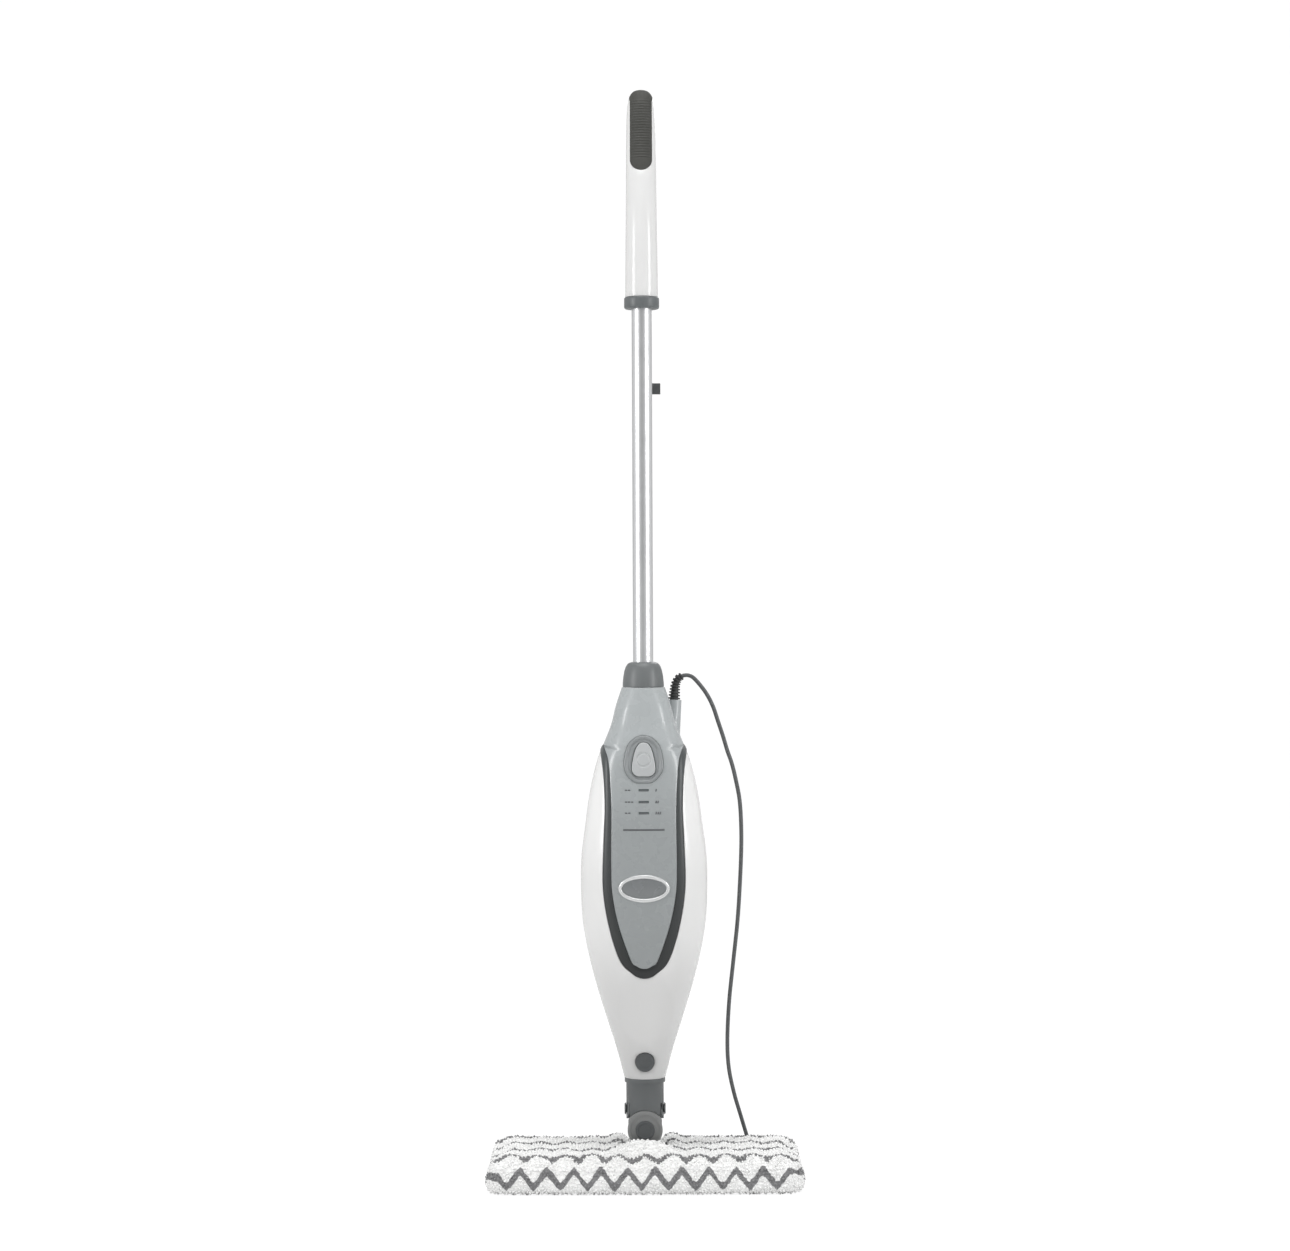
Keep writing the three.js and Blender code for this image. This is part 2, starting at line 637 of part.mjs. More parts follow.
function handleFrontShell() {
  const window = frontPrism(gripOutline(GAP), -40, 80);
  return cut(handleSkin.intersect(handleFrontRegion(-GAP / 2)), window);
}

function handleRearShell() {
  return handleSkin.subtract(handleFrontRegion(GAP / 2));
}

function handleGrip() {
  const layer = handleForm(0.5, HANDLE_BOTTOM, HANDLE_TOP).subtract(handleForm(-2.6, HANDLE_BOTTOM - 2, HANDLE_TOP - 3));
  return layer.intersect(frontPrism(gripOutline(), -40, 80)).intersect(handleFrontRegion(-GAP));
}

function handleCollar() {
  return turned([
    [TUBE_RADIUS + GAP, 960], [18.2, 960], [19.3, 962], [19.3, 971.4], [18.8, 972.6], [TUBE_RADIUS + GAP, 972.6],
    [TUBE_RADIUS + GAP, 960],
  ]);
}

addPiece(handleGroup, 'handle_collar', handleCollar(), DARK_GREY);
addPiece(handleGroup, 'handle_front_shell', handleFrontShell(), WHITE);
addPiece(handleGroup, 'handle_rear_shell', handleRearShell(), WHITE);
addPiece(handleGroup, 'handle_grip', handleGrip(), [0x52524b, 0.8]);

// ---- neck: sleeve with two ears, its seal and the pin that the head leans on ----
function neckSleeve() {
  const barrel = rod('z', PITCH_Z + 7, CASING_BOTTOM - 4.6, [0, 0], NECK_RADIUS, 24);
  const flange = rod('z', CASING_BOTTOM - 5, CASING_BOTTOM - GAP, [0, 0], 22.3, 24);
  const spigot = rod('z', 112, SPIGOT_TOP, [0, 0], SPIGOT_RADIUS, 24);
  const round = rod('z', 60, PITCH_Z + 13, [0, 0], NECK_RADIUS, 24);
  const skirt = round.intersect(block(-30, 30, -30, -12.3, PITCH_Z - 9.5, PITCH_Z + 8));
  const ears = rod('x', -30, 30, [0, PITCH_Z], 10.8, 24).intersect(round);
  const webs = round.intersect(block(-30, 30, -10.8, 10.8, PITCH_Z, PITCH_Z + 8));
  const slot = block(-12, 12, -12.3, 30, 60, PITCH_Z + 20);
  const arch = rod('y', -40, -11.6, [0, ROLL_Z], 21.8, 32);
  const pinHole = rod('x', -30, 30, [0, PITCH_Z], 4.8, 16);
  const steamBore = rod('z', PITCH_Z + 10, 160, [0, 0], 3.5, 12);
  const sealGroove = ring(13.8, 16, 139.4, 143.6);
  return cut(join(barrel, flange, spigot, skirt, ears, webs), slot, arch, pinHole, steamBore, sealGroove);
}

function pitchPin() {
  const shaft = rod('x', -21, 21, [0, 0], 4.5, 16);
  const heads = [rod('x', 20.9, 22.4, [0, 0], 6.8, 20, 5.4), rod('x', -22.4, -20.9, [0, 0], 5.4, 20, 6.8)];
  return join(shaft, ...heads);
}

addPiece(neckGroup, 'neck_sleeve', neckSleeve(), [0x616564, 0.5]);
addPiece(neckGroup, 'neck_seal', ring(14.1, 16.4, 139.7, 143.3), RUBBER);
addPiece(neckGroup, 'pitch_pin', pitchPin(), GRAPHITE, [0, 0, PITCH_Z]);

// ---- knuckle between the two hinges ----
function swivelKnuckle() {
  const barrel = rod('x', -11.6, 11.6, [0, PITCH_Z], 9.6, 20);
  const stem = block(-11.6, 11.6, -11.2, 16.5, ROLL_Z, PITCH_Z);
  const frontDisc = rod('y', -20, -11, [0, ROLL_Z], 19.2, 28);
  const archFill = rod('y', -20, -11, [0, ROLL_Z], 21.3, 32);
  const shoulders = archFill.intersect(block(-18.4, 18.4, -20, -11, ROLL_Z, ROLL_Z + 30));
  const rearDisc = rod('y', 10.9, 16.5, [0, ROLL_Z], 11.5, 24);
  const lugRoom = rod('y', -10.9, 10.9, [0, ROLL_Z], 11.1, 24);
  const pitchHole = rod('x', -30, 30, [0, PITCH_Z], 4.8, 16);
  const rollHole = rod('y', -30, 30, [0, ROLL_Z], 5.3, 16);
  return cut(join(barrel, stem, frontDisc, shoulders, rearDisc), lugRoom, pitchHole, rollHole);
}

function rollPin() {
  const shaft = rod('y', -21, 19.5, [0, 0], 5, 16);
  const head = rod('y', -22.4, -20.3, [0, 0], 10.5, 28);
  const nut = rod('y', 16.8, 20, [0, 0], 8, 6);
  return join(shaft, head, nut);
}

addPiece(headGroup, 'swivel_knuckle', swivelKnuckle(), [0x5b5d5c, 0.5]);
addPiece(headGroup, 'roll_pin', rollPin(), GRAPHITE, [0, 0, ROLL_Z]);

// ---- mop head and pad ----
function headBracket() {
  const lug = rod('y', -10.5, 10.5, [0, ROLL_Z], 10.5, 24);
  const post = block(-7.5, 7.5, -10.5, 10.5, 16, ROLL_Z);
  const foot = block(-32, 32, -24, 24, 13.3, 17.3);
  return cut(join(lug, post, foot), rod('y', -20, 20, [0, ROLL_Z], 5.3, 16));
}

function headBase() {
  const tray = plate(roundedRectangle(322, 148, 14), 8.3, 22);
  const well = plate(roundedRectangle(316, 142, 11), 13, 30);
  const vents = [-110, -55, 0, 55, 110].map((x) => rod('z', 0, 20, [x, 0], 3, 10));
  return cut(tray, well, ...vents);
}

function headCover() {
  const lid = plate(roundedRectangle(322, 148, 14), 22.3, 28);
  const hollow = plate(roundedRectangle(316, 142, 11), 20, 25.5);
  return cut(lid, hollow, block(-13, 13, -13, 13, 15, 40));
}

function steamManifold() {
  const runs = [-1, 1].map((side) => block(side * 75 - 60, side * 75 + 60, 26, 36, 13.3, 21));
  const bridge = block(-70, 70, 26, 36, 17.8, 21);
  return join(...runs, bridge);
}

function mopPad() {
  const bevel = 9;
  const shape = roundedRectangle(PAD_LENGTH - 2 * bevel, PAD_DEPTH - 2 * bevel, PAD_CORNER - bevel);
  const geometry = new THREE.ExtrudeGeometry(shape, {
    depth: PAD_HEIGHT - 2 * bevel,
    bevelThickness: bevel,
    bevelSize: bevel,
    bevelSegments: 3,
    curveSegments: 4,
  });
  geometry.translate(0, 0, bevel);
  const pocket = plate(roundedRectangle(323, 149, 14.5), 8, 28.6);
  const notch = block(-22, 22, -27, 100, 33, 50);
  const postHole = block(-13.5, 13.5, -13.5, 13.5, 20, 50);
  return cut(solid(geometry), pocket, notch, postHole);
}

addPiece(headGroup, 'head_bracket', headBracket(), GRAPHITE);
addPiece(headGroup, 'head_base', headBase(), GRAPHITE);
addPiece(headGroup, 'head_cover', headCover(), GRAPHITE);
addPiece(headGroup, 'steam_manifold', steamManifold(), GRAPHITE);
addPiece(headGroup, 'mop_pad', mopPad(), CLOTH);

// ---- mains cord ----
// Out of the strain relief, down behind the right side and to the floor behind the pad,
// then round the hank's right end into its back run
const CORD_ROUTE = [
  [37.0, 30.6, 550.8], [38.8, 30.9, 553.0], [42.4, 31.5, 555.5], [47.7, 32.2, 556.7], [53.0, 33.0, 555.5],
  [57.2, 33.6, 552.4], [63.5, 34.6, 545.2], [70.8, 36.2, 535.0], [77.5, 38.2, 521.5], [83.0, 40.8, 505.0],
  [88.5, 43.6, 488.5], [93.4, 46.8, 472.0],
  [98.6, 50.0, 457.0], [103.6, 54.0, 436.0], [107.2, 58.0, 416.0], [108.8, 63.0, 393.0], [109.2, 68.0, 365.0],
  [107.9, 76.0, 325.8], [105.2, 85.0, 280.0], [100.4, 95.0, 232.0], [95.8, 104.0, 186.0], [93.8, 112.0, 142.0],
  [95.2, 118.0, 110.0], [101.0, 126.0, 80.0], [109.5, 138.0, 50.0], [117.0, 151.0, 24.0], [121.0, 163.0, 9.0],
  [120.0, 174.0, 4.3], [113.0, 185.0, 4.1], [102.0, 190.6, 4.1], [93.0, 191.2, 4.1], [85.6, 191.2, 4.1],
];
const CORD_TAIL = [[85.2, 122.8, 13.6], [90, 122.8, 13.2], [99, 122.8, 11], [107, 122.8, 9.4], [113.6, 122.8, 9]];

function strainRelief() {
  return turned([[0, 0], [6.4, 0], [6.4, 2.2], [3.8, 18.2], [0, 18.2]], 16);
}

function cordHank() {
  const [x, y] = HANK_CENTRE;
  const length = HANK_RUN + 2 * HANK_END_RADIUS;
  return plate(roundedRectangle(length, 2 * HANK_END_RADIUS, HANK_END_RADIUS - 0.01, x, y), HANK_Z[0], HANK_Z[1], 10);
}

function cordTie() {
  const [x, y] = HANK_CENTRE;
  const reach = HANK_END_RADIUS + GAP;
  const band = block(x - 6, x + 6, y - reach - 1.2, y + reach + 1.2, 0.1, HANK_Z[1] + GAP + 1.2);
  return band.subtract(block(x - 7, x + 7, y - reach, y + reach, HANK_Z[0] - GAP, HANK_Z[1] + GAP));
}

function mainsPlug() {
  const collar = rod('x', 114, 124.5, [122.8, 9], 3.4, 12, 6.4);
  const body = block(124, 150, 111.2, 134.4, 0.6, 17.4);
  const pins = [115.8, 129.8].map((y) => rod('x', 149, 167, [y, 9], 2.3, 10));
  return join(collar, body, ...pins);
}

const relief = addPiece(cordGroup, 'cord_strain_relief', strainRelief(), RUBBER, [34.2, 29.4, 531]);
relief.quaternion.setFromUnitVectors(
  new THREE.Vector3(0, 0, 1),
  new THREE.Vector3(2.3, 1, 18).normalize(),
);
addPiece(cordGroup, 'power_cord', sweep(CORD_ROUTE, CORD_RADIUS, 8, 60), [0x55585a, 0.6]);
addPiece(cordGroup, 'cord_hank', cordHank(), [0x55585a, 0.6]);
addPiece(cordGroup, 'cord_tail', sweep(CORD_TAIL, CORD_RADIUS, 8, 6), [0x55585a, 0.6]);
addPiece(cordGroup, 'cord_tie', cordTie(), GRAPHITE);
addPiece(cordGroup, 'mains_plug', mainsPlug(), [0x4a4d4e, 0.5]);

export default mop;
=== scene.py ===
import math

import bmesh
import bpy
import numpy as np
from mathutils import Matrix, Vector


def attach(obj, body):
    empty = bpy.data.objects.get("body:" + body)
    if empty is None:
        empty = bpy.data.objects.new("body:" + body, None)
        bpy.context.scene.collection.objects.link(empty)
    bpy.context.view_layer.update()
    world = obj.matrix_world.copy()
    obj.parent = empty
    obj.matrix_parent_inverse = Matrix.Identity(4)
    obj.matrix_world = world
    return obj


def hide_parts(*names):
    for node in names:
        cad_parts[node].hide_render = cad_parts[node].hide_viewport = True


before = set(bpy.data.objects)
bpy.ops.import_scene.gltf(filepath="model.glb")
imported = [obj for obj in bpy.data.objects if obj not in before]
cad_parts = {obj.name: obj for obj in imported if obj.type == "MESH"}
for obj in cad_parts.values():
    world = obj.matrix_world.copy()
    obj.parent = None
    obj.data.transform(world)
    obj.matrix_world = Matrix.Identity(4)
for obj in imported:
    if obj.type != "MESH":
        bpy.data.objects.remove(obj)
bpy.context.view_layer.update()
MM = 0.001

# ---- Studio ----
# The mop stands on a plain white sweep that runs up behind it. Three large soft lights and a
# pale surround light it evenly, and the camera looks at it level from the front.
CAMERA_PLACE = (0.0022, -3.35, 0.612)
CAMERA_ROLL = math.radians(0.25)
SWEEP_NEAR, SWEEP_BEND, SWEEP_BEND_RADIUS, SWEEP_TOP, SWEEP_HALF_WIDTH = -4.0, 3.0, 1.2, 5.0, 6.0

camera_data = bpy.data.cameras.new("studio_camera")
camera_data.lens = 85
camera_data.sensor_width = 36
camera = bpy.data.objects.new("studio_camera", camera_data)
camera.location = CAMERA_PLACE
camera.rotation_euler = (math.radians(90), CAMERA_ROLL, 0)
bpy.context.scene.collection.objects.link(camera)
bpy.context.scene.camera = camera
bpy.context.scene.view_settings.view_transform = "Standard"


def mesh_object(name, points, faces, smooth=True):
    """A new mesh object in the scene."""
    mesh = bpy.data.meshes.new(name)
    mesh.from_pydata([tuple(map(float, p)) for p in points], [], faces)
    mesh.update()
    made = bpy.data.objects.new(name, mesh)
    bpy.context.scene.collection.objects.link(made)
    mesh.polygons.foreach_set("use_smooth", [smooth] * len(mesh.polygons))
    return made


def studio_sweep():
    """Floor and back wall in one sheet, with a quarter turn between them."""
    turn = np.linspace(0.1, math.pi / 2, 14)
    end = SWEEP_BEND + SWEEP_BEND_RADIUS
    depths = [SWEEP_NEAR, SWEEP_BEND, *(SWEEP_BEND + SWEEP_BEND_RADIUS * np.sin(turn)), end]
    heights = [0.0, 0.0, *(SWEEP_BEND_RADIUS * (1 - np.cos(turn))), SWEEP_TOP]
    points = [(x, y, z) for y, z in zip(depths, heights) for x in (-SWEEP_HALF_WIDTH, SWEEP_HALF_WIDTH)]
    faces = [(2 * i, 2 * i + 1, 2 * i + 3, 2 * i + 2) for i in range(len(depths) - 1)]
    return mesh_object("studio_sweep", points, faces)


def add_node(tree, kind, links_in=None, **values):
    """A node with some inputs set by name and others linked."""
    node = tree.nodes.new(kind)
    for label, value in values.items():
        node.inputs[label.replace("_", " ")].default_value = value
    for label, source in (links_in or {}).items():
        tree.links.new(source, node.inputs[label])
    return node


def new_material(name, **values):
    """A material, its node tree and its shader, with some of the shader's inputs set by name."""
    made = bpy.data.materials.new(name)
    made.use_nodes = True
    tree = made.node_tree
    shader = tree.nodes["Principled BSDF"]
    for label, value in values.items():
        shader.inputs[label.replace("_", " ")].default_value = value
    return made, tree, shader


def textured(tree, vector, scale, detail=2.0, distortion=0.0):
    """Value of a noise texture laid through the object."""
    made = add_node(tree, "ShaderNodeTexNoise", {"Vector": vector}, Scale=scale, Detail=detail,
                    Distortion=distortion)
    return made.outputs["Fac"]


def bumped(tree, shader, height, strength, distance):
    """Lets a height value raise and sink the shader's surface."""
    bump = add_node(tree, "ShaderNodeBump", {"Height": height}, Strength=strength, Distance=distance * MM)
    tree.links.new(bump.outputs["Normal"], shader.inputs["Normal"])


def ranged(tree, value, from_min, from_max, to_min, to_max):
    """A value mapped from one range to another."""
    made = add_node(tree, "ShaderNodeMapRange", {"Value": value}, From_Min=from_min, From_Max=from_max,
                    To_Min=to_min, To_Max=to_max)
    return made.outputs["Result"]


sweep_paint, tree, sweep_shader = new_material("sweep_paint", Base_Color=(0.80, 0.80, 0.80, 1), Roughness=0.9)
glow = add_node(tree, "ShaderNodeEmission", Color=(1, 1, 1, 1), Strength=1.12)
path = tree.nodes.new("ShaderNodeLightPath")
share = tree.nodes.new("ShaderNodeMath")
share.operation = "MULTIPLY"
share.inputs[1].default_value = 0.80
seen_glow = tree.nodes.new("ShaderNodeMixShader")
tree.links.new(path.outputs["Is Camera Ray"], share.inputs[0])
tree.links.new(share.outputs[0], seen_glow.inputs["Fac"])
tree.links.new(sweep_shader.outputs["BSDF"], seen_glow.inputs[1])
tree.links.new(glow.outputs["Emission"], seen_glow.inputs[2])
tree.links.new(seen_glow.outputs["Shader"], tree.nodes["Material Output"].inputs["Surface"])
sweep = studio_sweep()
sweep.data.materials.append(sweep_paint)


def soft_light(name, place, aim, size, watts):
    """A rectangular light at a place, turned towards its aim."""
    data = bpy.data.lights.new(name, "AREA")
    data.shape = "RECTANGLE"
    data.size, data.size_y = size
    data.energy = watts
    lamp = bpy.data.objects.new(name, data)
    lamp.location = place
    lamp.rotation_euler = (Vector(aim) - Vector(place)).to_track_quat("-Z", "Y").to_euler()
    bpy.context.scene.collection.objects.link(lamp)


soft_light("left_light", (-2.5, -1.5, 1.15), (0, 0, 0.75), (0.55, 1.5), 27)
soft_light("right_light", (2.5, -1.5, 1.15), (0, 0, 0.75), (0.55, 1.5), 25)
soft_light("top_light", (0.0, -0.6, 3.0), (0, 0, 0.4), (1.8, 1.8), 30)
soft_light("back_light", (0.4, 2.2, 2.2), (0, 0, 0.6), (1.4, 1.4), 14)

world = bpy.data.worlds.new("studio_surround")
world.use_nodes = True
tree = world.node_tree
around = tree.nodes.new("ShaderNodeTexCoord")
split = add_node(tree, "ShaderNodeSeparateXYZ", {"Vector": around.outputs["Generated"]})
ahead = ranged(tree, split.outputs["Y"], -0.99, -0.72, 0.36, 0.66)
tree.nodes["Background"].inputs["Color"].default_value = (1, 1, 1, 1)
tree.links.new(ahead, tree.nodes["Background"].inputs["Strength"])
bpy.context.scene.world = world

# ---- Mains cord ----
# A grey rubber-jacketed lead leaves the strain relief, bends over, falls behind the right side
# of the casing and lies on the floor. What is left over is wound into a flat hank behind the
# pad, held by a strap, and ends in a plain two-pin plug beside it.
CORD_RADIUS = 2.3 * MM
CORD_ROUTE = [
    (37.0, 30.6, 550.8), (38.8, 30.9, 553.0), (42.4, 31.5, 555.5), (47.7, 32.2, 556.7),
    (53.0, 33.0, 555.5), (57.2, 33.6, 552.4), (63.5, 34.6, 545.2), (70.8, 36.2, 535.0),
    (77.5, 38.2, 521.5), (83.0, 40.8, 505.0), (88.5, 43.6, 488.5), (93.4, 46.8, 472.0),
    (98.6, 50.0, 457.0), (103.6, 54.0, 436.0), (107.2, 58.0, 416.0), (108.8, 63.0, 393.0),
    (109.2, 68.0, 365.0), (107.9, 76.0, 325.8), (105.2, 85.0, 280.0), (100.4, 95.0, 232.0),
    (95.8, 104.0, 186.0), (93.8, 112.0, 142.0), (95.2, 118.0, 110.0), (101.0, 126.0, 80.0),
    (109.5, 138.0, 50.0), (117.0, 151.0, 24.0), (121.0, 163.0, 9.0), (120.0, 174.0, 4.3),
    (113.0, 185.0, 4.1), (102.0, 190.6, 4.1), (93.0, 191.2, 4.1), (85.6, 191.2, 4.1),
]
# Points the lead passes, in millimetres: from the relief to the hank, and from the hank to the plug
CORD_TAIL = [(85.2, 122.8, 13.6), (90, 122.8, 13.2), (99, 122.8, 11), (107, 122.8, 9.4), (113.6, 122.8, 9)]
HANK_MIDDLE = (27, 157)
HANK_HALF_RUN = 39
HANK_OUTER = 34.2  # end radius of the outermost turn
HANK_PITCH = 4.8  # from one turn to the next
HANK_LOWEST = 4.1
# Column (0 is outermost) and layer of each turn, in the order they are wound
HANK_TURNS = [(column, 0) for column in range(5)]
HANK_TURNS += [(4, 1), (4, 2), (3, 2), (3, 1), (2, 1), (2, 2), (1, 2), (1, 1), (0, 1), (0, 2)]


def catmull(points, step):
    """Points every step along a smooth curve through the given ones."""
    keys = np.array(points, float)
    keys = np.vstack([2 * keys[0] - keys[1], keys, 2 * keys[-1] - keys[-2]])
    out = []
    for i in range(1, len(keys) - 2):
        p0, p1, p2, p3 = keys[i - 1:i + 3]
        count = max(2, int(np.linalg.norm(p2 - p1) / step))
        for t in np.linspace(0, 1, count, endpoint=False):
            out.append(0.5 * (2 * p1 + (p2 - p0) * t + (2 * p0 - 5 * p1 + 4 * p2 - p3) * t * t
                              + (3 * p1 - p0 - 3 * p2 + p3) * t ** 3))
    out.append(keys[-2])
    return np.array(out)


def hank_turn(place, following):
    """One turn of the hank, from its back run round to where it moves on to the next turn."""
    (x, y), (column, layer) = HANK_MIDDLE, place
    radius, height = HANK_OUTER - HANK_PITCH * column, HANK_LOWEST + HANK_PITCH * layer
    points = [(x + side, y + radius, height) for side in np.linspace(HANK_HALF_RUN, -HANK_HALF_RUN, 9)]
    for angle in np.linspace(90, 270, 13)[1:-1]:
        a = math.radians(angle)
        points.append((x - HANK_HALF_RUN + radius * math.cos(a), y + radius * math.sin(a), height))
    points += [(x + side, y - radius, height) for side in np.linspace(-HANK_HALF_RUN, HANK_HALF_RUN, 9)]
    if following:
        next_radius = HANK_OUTER - HANK_PITCH * following[0]
        next_height = HANK_LOWEST + HANK_PITCH * following[1]
        for angle in np.linspace(-90, 90, 13)[1:-1]:
            a, part = math.radians(angle), (angle + 90) / 180
            blend = part * part * (3 - 2 * part)
            r, h = radius + (next_radius - radius) * blend, height + (next_height - height) * blend
            points.append((x + HANK_HALF_RUN + r * math.cos(a), y + r * math.sin(a), h))
    return points


hank = []
for i, place in enumerate(HANK_TURNS):
    hank += hank_turn(place, HANK_TURNS[i + 1] if i + 1 < len(HANK_TURNS) else None)
cord_line = np.vstack([catmull(CORD_ROUTE, 4.0), catmull(hank, 9.0), catmull(CORD_TAIL, 4.0)]) * MM

cord_curve = bpy.data.curves.new("power_cord_line", "CURVE")
cord_curve.dimensions = "3D"
cord_curve.bevel_depth = CORD_RADIUS
cord_curve.bevel_resolution = 3
cord_curve.use_fill_caps = True
spline = cord_curve.splines.new("POLY")
spline.points.add(len(cord_line) - 1)
spline.points.foreach_set("co", np.hstack([cord_line, np.ones((len(cord_line), 1))]).ravel())
spline.use_smooth = True
power_lead = bpy.data.objects.new("power_lead", cord_curve)
bpy.context.scene.collection.objects.link(power_lead)


def painted_height_shading(tree, place, colour, height_shading):
    """Painted shade and light: a colour darkened or lightened with height, as (height in metres, factor)
    pairs in order.
    """
    low, high = height_shading[0][0], height_shading[-1][0]
    upright = add_node(tree, "ShaderNodeSeparateXYZ", {"Vector": place})
    share = ranged(tree, upright.outputs["Z"], low, high, 0.0, 1.0)
    depth = add_node(tree, "ShaderNodeValToRGB", {"Fac": share})
    ramp = depth.color_ramp
    ramp.interpolation = "EASE"
    while len(ramp.elements) < len(height_shading):
        ramp.elements.new(0.5)
    for element, (height, strength) in zip(ramp.elements, height_shading):
        element.position = (height - low) / (high - low)
    for element, (height, strength) in zip(ramp.elements, height_shading):
        element.color = (strength / 2, strength / 2, strength / 2, 1)
    scaled_colour = tree.nodes.new("ShaderNodeVectorMath")
    scaled_colour.operation = "MULTIPLY"
    tree.links.new(colour, scaled_colour.inputs[0])
    tree.links.new(depth.outputs["Color"], scaled_colour.inputs[1])
    doubled = tree.nodes.new("ShaderNodeVectorMath")
    doubled.operation = "SCALE"
    doubled.inputs["Scale"].default_value = 2.0
    tree.links.new(scaled_colour.outputs["Vector"], doubled.inputs[0])
    return doubled.outputs["Vector"]


def moulded(name, colour, roughness, mottle=0.03, grain=(900, 0.05), scuffs=0.0, coat=0.0, metallic=0.0,
            height_shading=None):
    """A moulded or painted finish: faint colour drift, a fine grain, and scuffs where it is handled.
    Where a height ramp is given, painted shade low down and painted light higher up.
    """
    made, tree, shader = new_material(name, Metallic=metallic, Coat_Weight=coat, Coat_Roughness=0.12)
    place = tree.nodes.new("ShaderNodeTexCoord").outputs["Object"]
    shades = add_node(tree, "ShaderNodeValToRGB", {"Fac": textured(tree, place, 14, 4)})
    darker, lighter = shades.color_ramp.elements
    darker.position, lighter.position = 0.3, 0.7
    darker.color = (*[c * (1 - mottle) for c in colour], 1)
    lighter.color = (*[min(1, c * (1 + mottle)) for c in colour], 1)
    shade = shades.outputs["Color"]
    tree.links.new(painted_height_shading(tree, place, shade, height_shading) if height_shading else shade, shader.inputs["Base Color"])
    bumped(tree, shader, textured(tree, place, grain[0], 3), grain[1], 0.3)
    rub = textured(tree, place, 60, 6, 0.4)
    gloss = ranged(tree, rub, 0.35, 0.75, max(0.03, roughness - 0.02), roughness + 0.02 + scuffs)
    tree.links.new(gloss, shader.inputs["Roughness"])
    return made


cord_jacket = moulded("cord_jacket", (0.10, 0.105, 0.108), 0.48, 0.05, (1500, 0.15), 0.05)
cord_curve.materials.append(cord_jacket)
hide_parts("power_cord", "cord_hank", "cord_tail")
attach(power_lead, "mop_body")

# ---- Casing form ----
# Front and rear shells, the dark trim and the grey upper housing are one swelling form that is
# narrow at the neck and at the tube. Every piece of it is moulded plastic about 2.4 mm thick.
# Height, half width, depth in front, depth behind, roundness (2 is an ellipse), in millimetres
CASING_STATIONS = np.array([
    [116, 22.6, 22.5, 22.5, 2.0], [147, 30.8, 28.5, 29.5, 2.0], [182, 41.8, 34.5, 37.0, 2.1],
    [218, 52.8, 40.0, 44.0, 2.2], [253, 61.6, 44.0, 49.5, 2.2], [288, 67.6, 46.8, 53.0, 2.2],
    [323, 69.4, 48.0, 54.0, 2.25], [358, 68.8, 48.0, 53.5, 2.3], [394, 64.4, 46.8, 51.0, 2.4],
    [429, 59.4, 44.4, 47.4, 2.6], [464, 51.2, 41.0, 42.6, 2.8], [486, 42.4, 36.5, 37.4, 2.8],
    [503, 35.7, 32.0, 32.4, 2.7], [524, 30.3, 28.0, 28.0, 2.4], [544, 23.7, 23.7, 23.7, 2.0],
])
CASING_BOTTOM, CASING_TOP = CASING_STATIONS[0, 0], CASING_STATIONS[-1, 0]
WALL = 2.4
SEAM = 0.15  # half the gap where two mouldings meet
RIGHT, FRONT, LEFT = 0.0, -math.pi / 2, -math.pi  # directions round the casing, as angles


def station_at(stations, z):
    """The row of a station table at a height, smoothly between the rows it gives."""
    i = int(np.clip(np.searchsorted(stations[:, 0], z), 1, len(stations) - 1))
    a, b, c, d = [stations[min(max(k, 0), len(stations) - 1)] for k in (i - 2, i - 1, i, i + 1)]
    span = c[0] - b[0]
    t = (z - b[0]) / span
    start = (c - a) / (c[0] - a[0]) * span
    end = (d - b) / (d[0] - b[0]) * span
    return ((2 * t ** 3 - 3 * t ** 2 + 1) * b + (t ** 3 - 2 * t ** 2 + t) * start
            + (3 * t ** 2 - 2 * t ** 3) * c + (t ** 3 - t ** 2) * end)


def casing_point(angle, z, proud=0.0):
    """A point of the casing at a direction and a height, in millimetres."""
    _, width, front, back, power = station_at(CASING_STATIONS, min(max(z, CASING_BOTTOM), CASING_TOP))
    c, s = math.cos(angle), math.sin(angle)
    depth = (front if s < 0 else back) + proud
    reach = (abs(c / (width + proud)) ** power + abs(s / depth) ** power) ** (-1 / power)
    return reach * c, reach * s, z


def casing_angle(x, z):
    """Direction of the point on the casing's front at x and z."""
    _, width, front, _, power = station_at(CASING_STATIONS, z)
    inside = max(0.0, 1 - abs(x / width) ** power)
    return math.atan2(-front * inside ** (1 / power), x) if inside else (RIGHT if x > 0 else LEFT)


def even(points, count):
    """The same line given by count points at even distances."""
    line = np.array(points, float)
    run = np.concatenate([[0], np.cumsum(np.linalg.norm(np.diff(line, axis=0), axis=1))])
    places = np.linspace(0, run[-1], count)
    return np.column_stack([np.interp(places, run, line[:, k]) for k in range(line.shape[1])])


def half_outline(points, end_height, count, spread=0.0, angle_of=casing_angle):
    """Right half of an outline on the front, as (angle, z) from the middle to the side at end_height."""
    line = catmull([(-points[1][0], points[1][1])] + list(points), 1.2)
    line = line[int(np.argmin(np.linalg.norm(line - np.array(points[0], float), axis=1))):]
    across = np.gradient(line, axis=0)
    across /= np.linalg.norm(across, axis=1)[:, None] + 1e-9
    line = line + spread * np.column_stack([across[:, 1], -across[:, 0]])
    line[0, 0] = 0.0
    turned = [(angle_of(x, z), z) for x, z in even(line, count - 1)]
    return np.array(turned + [(RIGHT, end_height)])


def both_sides(half):
    """Left half added to the right half of an outline, running from the left side to the right."""
    left = [(LEFT - angle, z) for angle, z in half[::-1]]
    return np.array(left[:-1] + [tuple(p) for p in half])


